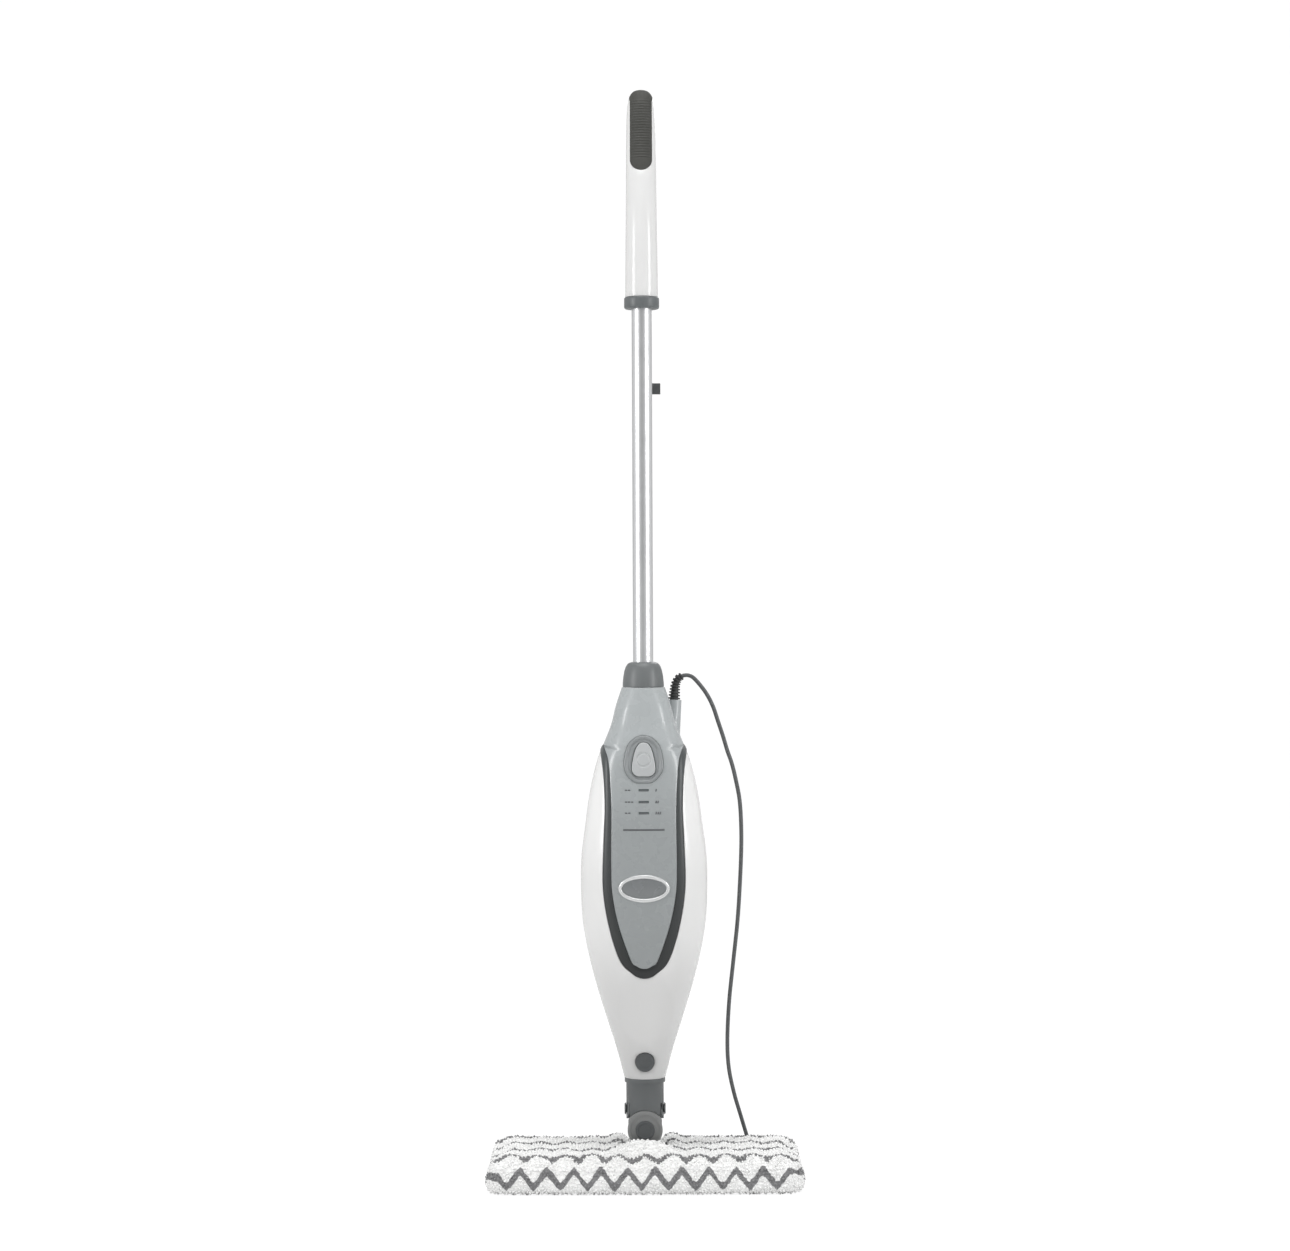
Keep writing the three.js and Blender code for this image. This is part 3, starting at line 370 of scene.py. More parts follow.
def panel(name, rows, point_at, closed=False):
    """A skin through rows of (angle, z); closed joins the two ends of every row."""
    points, faces = [], []
    count = len(rows[0])
    for row in rows:
        points += [np.array(point_at(angle, z)) * MM for angle, z in row]
    for r in range(len(rows) - 1):
        for i in range(count - (0 if closed else 1)):
            j = (i + 1) % count
            faces.append((r * count + i, r * count + j, (r + 1) * count + j, (r + 1) * count + i))
    return mesh_object(name, points, faces)


def applied(piece):
    """The piece with its modifiers worked into a plain mesh."""
    graph = bpy.context.evaluated_depsgraph_get()
    mesh = bpy.data.meshes.new_from_object(piece.evaluated_get(graph), depsgraph=graph)
    piece.modifiers.clear()
    piece.data = mesh
    return piece


def clean(piece, outward=False):
    """Merges doubled points, and turns the faces outwards where asked."""
    shape = bmesh.new()
    shape.from_mesh(piece.data)
    bmesh.ops.remove_doubles(shape, verts=shape.verts, dist=0.01 * MM)
    bmesh.ops.dissolve_degenerate(shape, edges=shape.edges, dist=0.01 * MM)
    if outward:
        bmesh.ops.recalc_face_normals(shape, faces=shape.faces)
    shape.to_mesh(piece.data)
    shape.free()
    return piece


def thicken(piece, wall=WALL, away_from=(0, 0)):
    """Turns a skin to face away from its middle and gives it a wall inwards."""
    clean(piece)
    mesh = piece.data
    centre = np.array([away_from[0] * MM, away_from[1] * MM, 0])
    total = 0.0
    for face in mesh.polygons:
        total += (np.array(face.center) - centre)[:2] @ np.array(face.normal)[:2]
    if total < 0:
        mesh.flip_normals()
    solid = piece.modifiers.new("wall", "SOLIDIFY")
    solid.thickness = wall * MM
    solid.offset = -1
    solid.use_even_offset = True
    return applied(piece)


def eased(piece, width=0.35, segments=2, angle=34, smooth=32):
    """Rounds the sharp edges a little and smooths the rest."""
    bevel = piece.modifiers.new("edges", "BEVEL")
    bevel.width = width * MM
    bevel.segments = segments
    bevel.limit_method = "ANGLE"
    bevel.angle_limit = math.radians(angle)
    bevel.use_clamp_overlap = True
    applied(piece)
    piece.data.polygons.foreach_set("use_smooth", [True] * len(piece.data.polygons))
    piece.data.set_sharp_from_angle(angle=math.radians(smooth))
    return piece


def combine(piece, others, operation):
    """Joins other solids to a piece or cuts them out of it, then discards them."""
    for other in others:
        step = piece.modifiers.new("step", "BOOLEAN")
        step.operation = operation
        step.solver = "EXACT"
        step.object = other
    if others:
        applied(piece)
    for other in others:
        bpy.data.objects.remove(other)
    return clean(piece)


def join(piece, *others):
    """Adds solids to a piece."""
    return combine(piece, others, "UNION")


def cut(piece, *others):
    """Takes solids out of a piece."""
    return combine(piece, others, "DIFFERENCE")


def keep(piece, *others):
    """Keeps what a piece shares with each solid in turn."""
    return combine(piece, others, "INTERSECT")


def rod(axis, start, end, place, radius, end_radius=None, sides=64, name="rod"):
    """A round bar along x, y or z, from start to end, whose middle is at place on the other two axes."""
    shape = bmesh.new()
    top = radius if end_radius is None else end_radius
    bmesh.ops.create_cone(shape, cap_ends=True, segments=sides, radius1=radius * MM, radius2=top * MM,
                          depth=(end - start) * MM)
    middle = (start + end) / 2
    turn = {"x": Matrix.Rotation(math.pi / 2, 4, "Y"), "y": Matrix.Rotation(-math.pi / 2, 4, "X"),
            "z": Matrix.Identity(4)}[axis]
    at = {"x": (middle, *place), "y": (place[0], middle, place[1]), "z": (*place, middle)}[axis]
    bmesh.ops.transform(shape, matrix=Matrix.Translation(Vector(at) * MM) @ turn, verts=shape.verts)
    return from_bmesh(shape, name)


def block(x0, x1, y0, y1, z0, z1, name="block"):
    """A box between two planes on each axis."""
    shape = bmesh.new()
    bmesh.ops.create_cube(shape, size=1)
    size = Matrix.Diagonal(((x1 - x0) * MM, (y1 - y0) * MM, (z1 - z0) * MM, 1))
    middle = Vector(((x0 + x1) / 2, (y0 + y1) / 2, (z0 + z1) / 2)) * MM
    bmesh.ops.transform(shape, matrix=Matrix.Translation(middle) @ size, verts=shape.verts)
    return from_bmesh(shape, name)


def from_bmesh(shape, name):
    """An object from a worked shape, facing out."""
    mesh = bpy.data.meshes.new(name)
    bmesh.ops.recalc_face_normals(shape, faces=shape.faces)
    shape.to_mesh(mesh)
    shape.free()
    made = bpy.data.objects.new(name, mesh)
    bpy.context.scene.collection.objects.link(made)
    return made


def prism(outline, y0, y1, name="prism"):
    """A solid between two depths from an outline of (x, z) points."""
    count = len(outline)
    points = [(x * MM, y * MM, z * MM) for y in (y0, y1) for x, z in outline]
    faces = [tuple(range(count)), tuple(range(2 * count - 1, count - 1, -1))]
    faces += [(i, i + count, (i + 1) % count + count, (i + 1) % count) for i in range(count)]
    return clean(mesh_object(name, points, faces, False), outward=True)


def mirrored_outline(half, samples=48, spread=0.0):
    """A closed outline of (x, z) from the points of its right half."""
    line = catmull(half, 1.0)
    across = np.gradient(line, axis=0)
    across /= np.linalg.norm(across, axis=1)[:, None] + 1e-9
    line = even(line + spread * np.column_stack([across[:, 1], -across[:, 0]]), samples)
    line[0, 0] = line[-1, 0] = 0.0
    return [tuple(p) for p in line] + [(-x, z) for x, z in line[-2:0:-1]]


def turned(profile, name, sides=96):
    """A closed ring or solid of revolution about the upright axis from (radius, height) points."""
    points, faces = [], []
    count = len(profile)
    for k in range(sides):
        a = 2 * math.pi * k / sides
        points += [(r * math.cos(a) * MM, r * math.sin(a) * MM, z * MM) for r, z in profile]
    for k in range(sides):
        for i in range(count):
            a, b = k * count + i, k * count + (i + 1) % count
            c, d = (a + count) % (sides * count), (b + count) % (sides * count)
            faces.append((a, c, d, b))
    return clean(mesh_object(name, points, faces), outward=True)


def sharpened(piece, angle=40):
    """Shades a turned piece smooth but for its sharp edges."""
    piece.data.set_sharp_from_angle(angle=math.radians(angle))
    return piece


def back_rows(inset, bottom, top, across, levels):
    """Level rows round the back half of the casing or the handle, a little short of its middle line."""
    return [[(angle, z) for angle in np.linspace(inset, math.pi - inset, across)]
            for z in np.linspace(bottom, top, levels)]


def casing_core(bottom, top, proud, across, levels):
    """The room inside the casing between two heights, as a solid."""
    rows = [[(angle, z) for angle in np.linspace(0, 2 * math.pi, across + 1)[:-1]]
            for z in np.linspace(bottom, top, levels)]
    core = panel("core", rows, lambda angle, z: casing_point(angle, z, proud), closed=True)
    shape = bmesh.new()
    shape.from_mesh(core.data)
    bmesh.ops.holes_fill(shape, edges=shape.edges)
    bmesh.ops.recalc_face_normals(shape, faces=shape.faces)
    shape.to_mesh(core.data)
    shape.free()
    return core


def fit(piece, name, body, slot, finish, *nodes):
    """Names a finished piece, gives it its finish and puts it in place of the plain nodes."""
    piece.name = name
    piece.data.name = name
    piece.data.materials.clear()
    piece.data.materials.append(finish)
    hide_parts(*nodes)
    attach(piece, body)
    return piece


# ---- Front shell ----
# The glossy white front moulding wraps under the dark trim and ends at the neck. It has a round
# hole for the head release button and a shallow dish above it for the thumb.
# Right half of the trim's outer edge as (x, z), and heights on the casing, in millimetres
TRIM_OUTER = [(0, 228.2), (6.5, 229.4), (13, 233.4), (26.5, 247.5), (38.3, 284), (44.8, 327), (43.8, 377),
              (42.3, 413), (43.6, 446), (45.4, 462), (46.6, 470)]
TRIM_TOP, TRIM_LOW = 481.5, 474.0  # edges of the trim where it goes round the sides and the back
BUTTON_Z, BADGE_Z, RELEASE_Z = 466, 326.5, 135.3
PLATE_Z, PLATE_CORNER = 300, 3.0
SIDE_SEAM = 0.004  # angle between a moulding's side edge and the middle line


def shell_point(angle, z):
    """The casing with its thumb dish and the rim round the release button pressed in."""
    x, y, _ = casing_point(angle, z)
    dent = 0.0
    if y < 0:
        dish = math.hypot(x / 32, (z - 190) / (31 if z < 190 else 48))
        if dish < 1:
            dent += 2.6 * (1 - dish ** 3)
        rim = math.hypot(x, z - RELEASE_Z)
        dent += 2.0 * max(0.0, 1 - max(0.0, rim - 10) / 5.0) ** 1.5
    return casing_point(angle, z, -dent)


def u_rows(inner, bottom, top, floor_count, side_count, across, edge):
    """Rows from an inner U outline out to the sides and the bottom edge."""
    half = [(angle, bottom) for angle in np.linspace(FRONT, edge, floor_count)]
    half += [(edge, z) for z in np.linspace(bottom, top, side_count)[1:]]
    outer = both_sides(np.array(half))
    steps = np.linspace(0, 1, across)
    return [inner * (1 - t) + outer * t for t in steps]


inner = both_sides(half_outline(TRIM_OUTER, TRIM_LOW - 2 * SEAM, 110, spread=2 * SEAM))
inner[:, 0] = np.clip(inner[:, 0], LEFT + SIDE_SEAM, -SIDE_SEAM)
rows = u_rows(inner, CASING_BOTTOM, TRIM_LOW - 2 * SEAM, 16, 95, 34, -SIDE_SEAM)
front_shell = thicken(panel("front_shell_form", rows, shell_point))
cut(front_shell, rod("y", -40, -10, (0, RELEASE_Z), 10.7))
eased(front_shell)
# Painted shade: the white is darkened towards the bottom of the casing and a little over the handle, by
# height.
WHITE_PAINTED_SHADING = [(0.11, 0.66), (0.20, 0.75), (0.30, 0.92), (0.42, 1.02), (0.90, 0.90), (1.2, 0.88)]
white_plastic = moulded(
    "white_plastic", (0.80, 0.80, 0.795), 0.24, 0.006, (900, 0.02), 0.01, coat=0.4, height_shading=WHITE_PAINTED_SHADING)
fit(front_shell, "white_front_shell", "mop_body", "white_plastic", white_plastic, "front_shell")

# ---- Rear shell ----
# The matching white rear moulding. Four deep screw wells hold it to the front, the round filler
# opening is let into a flat seat, and a shallow window takes the rating plate.
SCREW_PLACES = [(-44, 430), (44, 430), (-33, 215), (33, 215)]
FILLER_Z = 395


def seat_depth(x, z):
    """Depth of the flat seat under a casing screw's head."""
    _, width, _, back, power = station_at(CASING_STATIONS, z)
    return back * (1 - (abs(x) / width) ** power) ** (1 / power) - 4.5


def plate_rows(half_width, half_height):
    """Rows across a rounded rectangle on the back of the casing."""
    found = []
    for t in np.sin(np.linspace(-math.pi / 2, math.pi / 2, 32)):
        into_corner = max(0.0, abs(t) * half_height - (half_height - PLATE_CORNER))
        half = half_width - PLATE_CORNER + math.sqrt(max(0.0, PLATE_CORNER ** 2 - into_corner ** 2))
        z = PLATE_Z + t * half_height
        found.append([(-casing_angle(x, z), z) for x in np.linspace(-half, half, 40)])
    return found


def curved_plate(name, half_width, half_height, proud, wall):
    """A plate of even thickness that follows the back of the casing."""
    skin = panel(name, plate_rows(half_width, half_height), lambda angle, z: casing_point(angle, z, proud))
    return thicken(skin, wall)


rows = back_rows(SIDE_SEAM, CASING_BOTTOM, TRIM_LOW - 2 * SEAM, 90, 110)
rear_shell = thicken(panel("rear_shell_form", rows, casing_point))
filler_face = casing_point(math.pi / 2, FILLER_Z)[1]
join(rear_shell, *[rod("y", seat_depth(x, z) - 5, seat_depth(x, z) + 3.4, (x, z), 6, sides=32)
                   for x, z in SCREW_PLACES])
wells = [rod("y", seat_depth(x, z), 100, (x, z), 4.6, sides=40) for x, z in SCREW_PLACES]
wells += [rod("y", 5, 100, (x, z), 2.3, sides=24) for x, z in SCREW_PLACES]
cut(rear_shell, *wells, rod("y", 20, 100, (0, FILLER_Z), 14.6),
    rod("y", filler_face - 1.5, 100, (0, FILLER_Z), 22), curved_plate("plate_window", 23.3, 14.3, 2.0, 2.9))
eased(rear_shell)
fit(rear_shell, "white_rear_shell", "mop_body", "white_plastic", white_plastic, "rear_shell")

# ---- Trim band ----
# One dark grey moulded strip frames the grey panel in a long U, opens into two horns at the sides
# and runs round the back, covering the joint between the white and the grey mouldings.
TRIM_INNER = [(0, 238.8), (4.5, 239.5), (8.8, 242.0), (14.4, 247.5), (27.3, 284), (34.6, 320), (35.8, 351),
              (35.4, 413), (37.2, 450), (39.4, 468), (42.4, 477)]
TRIM_PROUD = 0.9


def trim_rows(across):
    """Rows from the trim's outer edge to its inner one, all the way round the casing."""
    outer = both_sides(half_outline(TRIM_OUTER, TRIM_LOW, 110))
    inner = both_sides(half_outline(TRIM_INNER, TRIM_TOP, 110))
    back = np.linspace(RIGHT, math.pi, 60)[1:-1]
    outer = np.vstack([outer, [(a, TRIM_LOW) for a in back]])
    inner = np.vstack([inner, [(a, TRIM_TOP) for a in back]])
    return [outer * (1 - t) + inner * t for t in np.linspace(0, 1, across)]


def crowned(rows, point_at, proud):
    """Point finder for a strip that stands a little proud and is rounded across."""
    heights = {}
    for k, row in enumerate(rows):
        lift = proud * (1 - abs(2 * k / (len(rows) - 1) - 1) ** 3)
        for angle, z in row:
            heights[(round(float(angle), 9), round(float(z), 9))] = lift
    return lambda angle, z: point_at(angle, z, heights[(round(float(angle), 9), round(float(z), 9))])


rows = trim_rows(9)
trim_band = thicken(panel("trim_form", rows, crowned(rows, casing_point, TRIM_PROUD), closed=True), 2.6)
eased(trim_band, 0.25)
# Painted shade and light: the trim is darkened towards its bottom and lightened near its top, by height.
TRIM_PAINTED_SHADING = [(0.225, 0.30), (0.30, 0.62), (0.37, 1.0), (0.47, 1.45)]
trim_plastic = moulded("trim_plastic", (0.044, 0.049, 0.050), 0.34, 0.02, (1500, 0.12), 0.03, height_shading=TRIM_PAINTED_SHADING)
fit(trim_band, "dark_trim_band", "mop_body", "trim_plastic", trim_plastic, "trim_band")

# ---- Front housing ----
# The silvery grey panel runs down inside the trim as a tongue and closes the front of the upper
# casing round the tube. A shaped opening takes the button and its surround.
TUBE_RADIUS = 11.1


def tongue_rows(count):
    """Rows across the panel from the tip of its tongue to the collar."""
    outline = half_outline(TRIM_INNER, TRIM_TOP, 120, spread=-2 * SEAM)
    lower = [[(FRONT + (angle - FRONT) * t, z) for t in np.linspace(-1, 1, count)]
             for angle, z in outline[:-1]]
    upper = [[(FRONT - (SIDE_SEAM + FRONT) * t, z) for t in np.linspace(-1, 1, count)]
             for z in np.linspace(TRIM_TOP + 2 * SEAM, CASING_TOP, 36)]
    return lower + upper


front_housing = thicken(panel("front_housing_form", tongue_rows(56), casing_point))
BEZEL_HALF = [(0, BUTTON_Z - 25), (10, BUTTON_Z - 24), (19.5, BUTTON_Z - 14), (21.3, BUTTON_Z - 1),
              (17.5, BUTTON_Z + 15), (9, BUTTON_Z + 24), (0, BUTTON_Z + 26.5)]
BUTTON_HALF = [(0, BUTTON_Z - 18), (8, BUTTON_Z - 17.4), (12.6, BUTTON_Z - 12), (12.2, BUTTON_Z - 3),
               (8.8, BUTTON_Z + 11), (4.5, BUTTON_Z + 17.5), (0, BUTTON_Z + 19)]
LAMP_HEIGHTS = (433.2, 420.4, 408.4)
slots = [block(-5.55, 5.55, -100, 0, z - 1.3, z + 1.3) for z in LAMP_HEIGHTS]
cut(front_housing, prism(mirrored_outline(BEZEL_HALF, spread=0.3), -80, 0), *slots)
eased(front_housing)
# Painted shade and light: the grey panel is darkened down its tongue and lightened towards the neck, by
# height.
SILVER_PAINTED_SHADING = [(0.23, 0.80), (0.38, 0.93), (0.45, 1.08), (0.50, 1.22)]
silver_plastic = moulded(
    "silver_plastic", (0.315, 0.335, 0.34), 0.28, 0.003, (2600, 0.02), 0.0, coat=0.25, height_shading=SILVER_PAINTED_SHADING)
fit(front_housing, "silver_front_housing", "mop_body", "silver_plastic", silver_plastic, "front_housing")

# ---- Rear housing ----
# The back half of the grey upper casing carries the slanted round socket that the cord's strain
# relief is held in, moulded in one with it.
rows = back_rows(SIDE_SEAM, TRIM_TOP + 2 * SEAM, CASING_TOP, 80, 40)
rear_housing = thicken(panel("rear_housing_form", rows, casing_point))
SOCKET_START, SOCKET_END = (32.4, 26, 476), (34.6, 29.4, 529.3)


def slanted_rod(start, end, radius, end_radius, name="slanted_rod", sides=64):
    """A round bar between two points."""
    a, b = Vector(start) * MM, Vector(end) * MM
    made = rod("z", 0, (b - a).length / MM, (0, 0), radius, end_radius, sides, name)
    made.data.transform(Matrix.Translation(a) @ (b - a).to_track_quat("Z", "Y").to_matrix().to_4x4())
    return made


socket = slanted_rod(SOCKET_START, SOCKET_END, 7.3, 7.8)
keep(socket, block(0, 100, 0, 100, TRIM_TOP + 2 * SEAM, 560))
cut(socket, casing_core(470, 548, -WALL, 80, 30),
    slanted_rod((32.0, 25.4, 468), (34.9, 29.9, 536), 5.2, 5.2, sides=48))
join(rear_housing, socket)
eased(rear_housing, 0.4)
fit(rear_housing, "silver_rear_housing", "mop_body", "silver_plastic", silver_plastic, "rear_housing")

# ---- Button surround and steam button ----
# A grey ring with a sunken inner groove frames the opening. The button floats inside it, pressed
# against a switch: a smooth rounded triangle with a raised round pad in the middle.
def front_depth(x, z):
    """Depth of the casing's front at x and z."""
    return casing_point(casing_angle(x, z), z)[1]


def loop_rows(outline_half, spreads, samples=44):
    """The same closed outline drawn at several distances outside or inside itself."""
    return [mirrored_outline(outline_half, samples, spread) for spread in spreads]


def stacked(name, loops, depths, dome=None):
    """A solid from loops of (x, z), each at its height off the casing; dome closes it on the front."""
    points, faces = [], []
    count = len(loops[0])
    for loop, proud in zip(loops, depths):
        points += [(x * MM, (front_depth(x, z) - proud) * MM, z * MM) for x, z in loop]
    last = (len(loops) - 1) * count
    for r in range(len(loops) - 1):
        for i in range(count):
            j = (i + 1) % count
            faces.append((r * count + i, r * count + j, (r + 1) * count + j, (r + 1) * count + i))
    if dome is None:
        faces += [(last + i, last + (i + 1) % count, (i + 1) % count, i) for i in range(count)]
    else:
        centre = np.mean(loops[-1], axis=0)
        steps = np.linspace(0.96, 0.0, 22)[:-1]
        base = last
        for t in steps:
            ring = [(centre[0] + (x - centre[0]) * t, centre[1] + (z - centre[1]) * t) for x, z in loops[-1]]
            points += [(x * MM, (front_depth(x, z) - dome(x, z, t)) * MM, z * MM) for x, z in ring]
            start = base + count
            faces += [(base + i, base + (i + 1) % count, start + (i + 1) % count, start + i)
                      for i in range(count)]
            base = start
        points.append((centre[0] * MM, (front_depth(*centre) - dome(*centre, 0)) * MM, centre[1] * MM))
        faces += [(base + i, base + (i + 1) % count, len(points) - 1) for i in range(count)]
        faces.append(tuple(range(count))[::-1])
    return clean(mesh_object(name, points, faces), outward=True)


BEZEL_STEPS = [(0.0, -2.0), (0.0, 0.7), (-0.5, 1.2), (-1.6, 1.5), (-2.8, 1.3), (-3.6, 0.6), (-4.2, -0.2),
               (-5.2, -0.5), (-6.0, -0.1)]
bezel_loops = loop_rows(BEZEL_HALF, [step[0] for step in BEZEL_STEPS])
bezel_loops += loop_rows(BUTTON_HALF, [0.9, 0.5, 0.5])
bezel = stacked("bezel_form", bezel_loops, [step[1] for step in BEZEL_STEPS] + [0.2, -0.1, -2.0])
bezel_plastic = moulded("bezel_plastic", (0.25, 0.265, 0.27), 0.3, 0.01, (2200, 0.06), 0.03)
fit(bezel, "button_surround", "mop_body", "silver_plastic", bezel_plastic, "button_bezel")


def button_dome(x, z, t):
    """Height of the button's face, with a sunken ring round its middle."""
    round_pad = math.hypot(x, z - BUTTON_Z)
    return 1.9 + 0.5 * (1 - t * t) - math.exp(-((round_pad - 7.2) / 0.8) ** 2)


button_loops = loop_rows(BUTTON_HALF, [0.0, 0.0, -0.25, -0.8], 60)
button = stacked("button_form", button_loops, [-1.4, 1.2, 1.6, 1.85], button_dome)
button_plastic = moulded("button_plastic", (0.43, 0.445, 0.45), 0.25, 0.01, (2200, 0.05), 0.02, coat=0.3)
fit(button, "steam_button_cap", "steam_button", "silver_plastic", button_plastic, "steam_button")

# ---- Lamps and printed marks ----
# Three small smoked lenses sit in slots under the button. Beside each is a printed bar on the
# left and a row of drops on the right, and one plain printed line closes the group.
clear_plastic, tree, shader = new_material(
    "smoked_lens", Base_Color=(0.10, 0.11, 0.115, 1), Roughness=0.12, Coat_Weight=0.6)
place = tree.nodes.new("ShaderNodeTexCoord").outputs["Object"]
bumped(tree, shader, textured(tree, place, 1200), 0.08, 0.2)


def slab(name, x0, x1, z0, z1, outer, inner, steps=10, skew=0.0):
    """A thin piece that follows the casing's front between two heights off it."""
    points, faces = [], []
    xs, zs = np.linspace(x0, x1, steps), np.linspace(z0, z1, 4)
    for proud in (inner, outer):
        points += [((x + skew * (z - z0)) * MM, (front_depth(x, z) - proud) * MM, z * MM)
                   for z in zs for x in xs]
    layer = steps * 4
    for r in range(3):
        for i in range(steps - 1):
            a = r * steps + i
            faces.append((a, a + 1, a + 1 + steps, a + steps))
            faces.append((layer + a, layer + a + steps, layer + a + 1 + steps, layer + a + 1))
    rim = list(range(steps)) + [r * steps + steps - 1 for r in range(1, 4)]
    rim += list(range(4 * steps - 2, 3 * steps - 1, -1)) + [r * steps for r in (2, 1)]
    faces += [(a, b, layer + b, layer + a) for a, b in zip(rim, rim[1:] + rim[:1])]
    return clean(mesh_object(name, points, faces), outward=True)


def merged(pieces):
    """Several pieces made one, each kept a separate closed body."""
    shape = bmesh.new()
    for piece in pieces:
        shape.from_mesh(piece.data)
    first = pieces[0]
    shape.to_mesh(first.data)
    shape.free()
    for piece in pieces[1:]:
        bpy.data.objects.remove(piece)
    return first


for i, z in enumerate(LAMP_HEIGHTS):
    lens = slab("lens_form", -5.2, 5.2, z - 1.0, z + 1.0, 0.25, -1.0, 12)
    fit(eased(lens, 0.2), f"lamp_lens_{i + 1}", "mop_body", "clear_plastic", clear_plastic,
        f"indicator_lens_{i + 1}")

INK = (0.12, -0.05)  # how far a print stands off the panel and reaches into it
marks = [slab("mark", -22.5, 22.5, 389.2, 391.2, *INK, 30)]
for i, z in enumerate(LAMP_HEIGHTS):
    for x in (-20.5, -17.2, -13.9)[:2 + i % 2]:
        marks.append(slab("mark", x, x + 2.6, z - 0.7, z + 0.7, *INK, 4))
    for k in range(i + 1):
        marks.append(slab("mark", 12.5 + 2.2 * k, 13.9 + 2.2 * k, z - 1.4, z + 1.4, *INK, 3, 0.2))
mark_ink = moulded("mark_ink", (0.09, 0.095, 0.10), 0.5, 0.05, (3000, 0.05))
fit(merged(marks), "printed_marks", "mop_body", "dark_plastic", mark_ink)

# ---- Badge ----
# A blank oval badge: a bright raised rim round a darker, slightly domed oval with nothing on it.
def ellipse(width, height, count=96):
    """A closed oval outline round the middle of the badge."""
    return [(width / 2 * math.cos(a), BADGE_Z + height / 2 * math.sin(a))
            for a in np.linspace(0, 2 * math.pi, count + 1)[:-1]]


# Width, height and distance off the casing of the loops that make the rim
RIM_SIZES = [(56, 30, -0.6), (56, 30, 0.6), (54.6, 28.6, 1.3), (52.6, 26.0, 1.5), (50.2, 23.6, 1.2),
             (48.6, 21.8, 0.5)]
rim_loops = [ellipse(w, h) for w, h, _ in RIM_SIZES] + [ellipse(48.6, 21.8)]
badge_rim = stacked("badge_rim_form", rim_loops, [d for _, _, d in RIM_SIZES] + [-0.6])
bright_rim = moulded("bright_rim", (0.66, 0.67, 0.67), 0.2, 0.02, (1800, 0.04), 0.05, coat=0.4, metallic=0.35)
fit(badge_rim, "badge_rim", "mop_body", "silver_plastic", bright_rim, "badge_plate")
face_loops = [ellipse(48, 21.2), ellipse(48, 21.2), ellipse(47.2, 20.4), ellipse(46.4, 19.6)]
face = stacked("badge_face_form", face_loops, [-0.5, 0.1, 0.35, 0.2], lambda x, z, t: 0.2 + 0.5 * (1 - t * t))
badge_paint = moulded("badge_paint", (0.17, 0.18, 0.185), 0.25, 0.04, (1800, 0.04), 0.05, coat=0.4)
fit(face, "badge_face", "mop_body", "silver_plastic", badge_paint)

# ---- Head release button ----
# A round dark button with a dished face, in the hole low on the front shell. Pressing it draws
# the latch back and frees the neck.
face_y = casing_point(FRONT, RELEASE_Z)[1]
release = rod("y", face_y - 1.6, face_y + 3.2, (0, RELEASE_Z), 10.3, sides=96)
join(release, block(-3.6, 3.6, face_y + 3, -19.3, RELEASE_Z - 3.6, RELEASE_Z + 3.6))
shape = bmesh.new()
bmesh.ops.create_uvsphere(shape, u_segments=96, v_segments=64, radius=24 * MM)
bmesh.ops.translate(shape, verts=shape.verts, vec=Vector((0, face_y - 24.6, RELEASE_Z)) * MM)
cut(release, from_bmesh(shape, "scoop"))
dark_grey = moulded("dark_grey_plastic", (0.066, 0.071, 0.073), 0.4, 0.04, (1600, 0.12), 0.08)
fit(eased(release, 0.5, 3), "release_button_cap", "head_release_button", "dark_plastic", dark_grey,
    "head_release_button")

# ---- Filler cap, screws, rating plate and lower hook ----
# On the back are the hinged filler cap with its finger tab, four pan head screws in their wells,
# a blank plate let into the shell and a moulded hook that the cord is wound on.
HINGE_Y, HINGE_Z = 56.5, 416
cap_face = filler_face + 1.9
cap = rod("y", cap_face, cap_face + 3.6, (0, FILLER_Z), 17.5, sides=96)
join(cap, block(-5, 5, cap_face, cap_face + 3.6, FILLER_Z - 21, FILLER_Z - 14),
     block(-5.5, 5.5, cap_face + 0.4, HINGE_Y + 2.4, FILLER_Z + 12, HINGE_Z),
     rod("x", -5.5, 5.5, (HINGE_Y, HINGE_Z), 2.4, sides=40),
     rod("y", cap_face - 3, cap_face + 1, (0, FILLER_Z), 9))
groove = rod("y", cap_face + 3.1, cap_face + 6, (0, FILLER_Z), 14.2, sides=96)
cut(groove, rod("y", cap_face, cap_face + 8, (0, FILLER_Z), 12.8, sides=96))
cut(cap, rod("x", -12, 12, (HINGE_Y, HINGE_Z), 1.5, sides=32), groove,
    *[block(x, x + 4.4, cap_face - 1, 80, FILLER_Z + 13.6, 430) for x in (-10, 5.6)],
    *[block(-3.6, 3.6, cap_face + 3.2, cap_face + 5, z, z + 0.9) for z in (FILLER_Z - 20, FILLER_Z - 18.2)])
fit(eased(cap, 0.4), "filler_cap_lid", "filler_cap", "dark_plastic", dark_grey, "filler_cap")
plate = eased(curved_plate("plate_form", 23, 14, -0.15, 0.6), 0.15)
fit(plate, "blank_rating_plate", "mop_body", "silver_plastic", bezel_plastic, "rating_plate")

steel = moulded("zinc_steel", (0.62, 0.63, 0.64), 0.28, 0.04, (2400, 0.1), 0.1, metallic=1.0)


def cross_screw():
    """A pan head screw on the upright axis with a cross recess, its head at the top."""
    profile = [(0, -12), (1.2, -11), (1.6, -9), (1.6, 0), (4, 0.1), (4, 1.0), (3.6, 1.7), (2.6, 2.2),
               (1.2, 2.4), (0, 2.45)]
    screw = turned(profile, "screw_form", 28)
    cut(screw, block(-2, 2, -0.45, 0.45, 1.2, 4), block(-0.45, 0.45, -2, 2, 1.2, 4))
    return eased(screw, 0.12, 1)


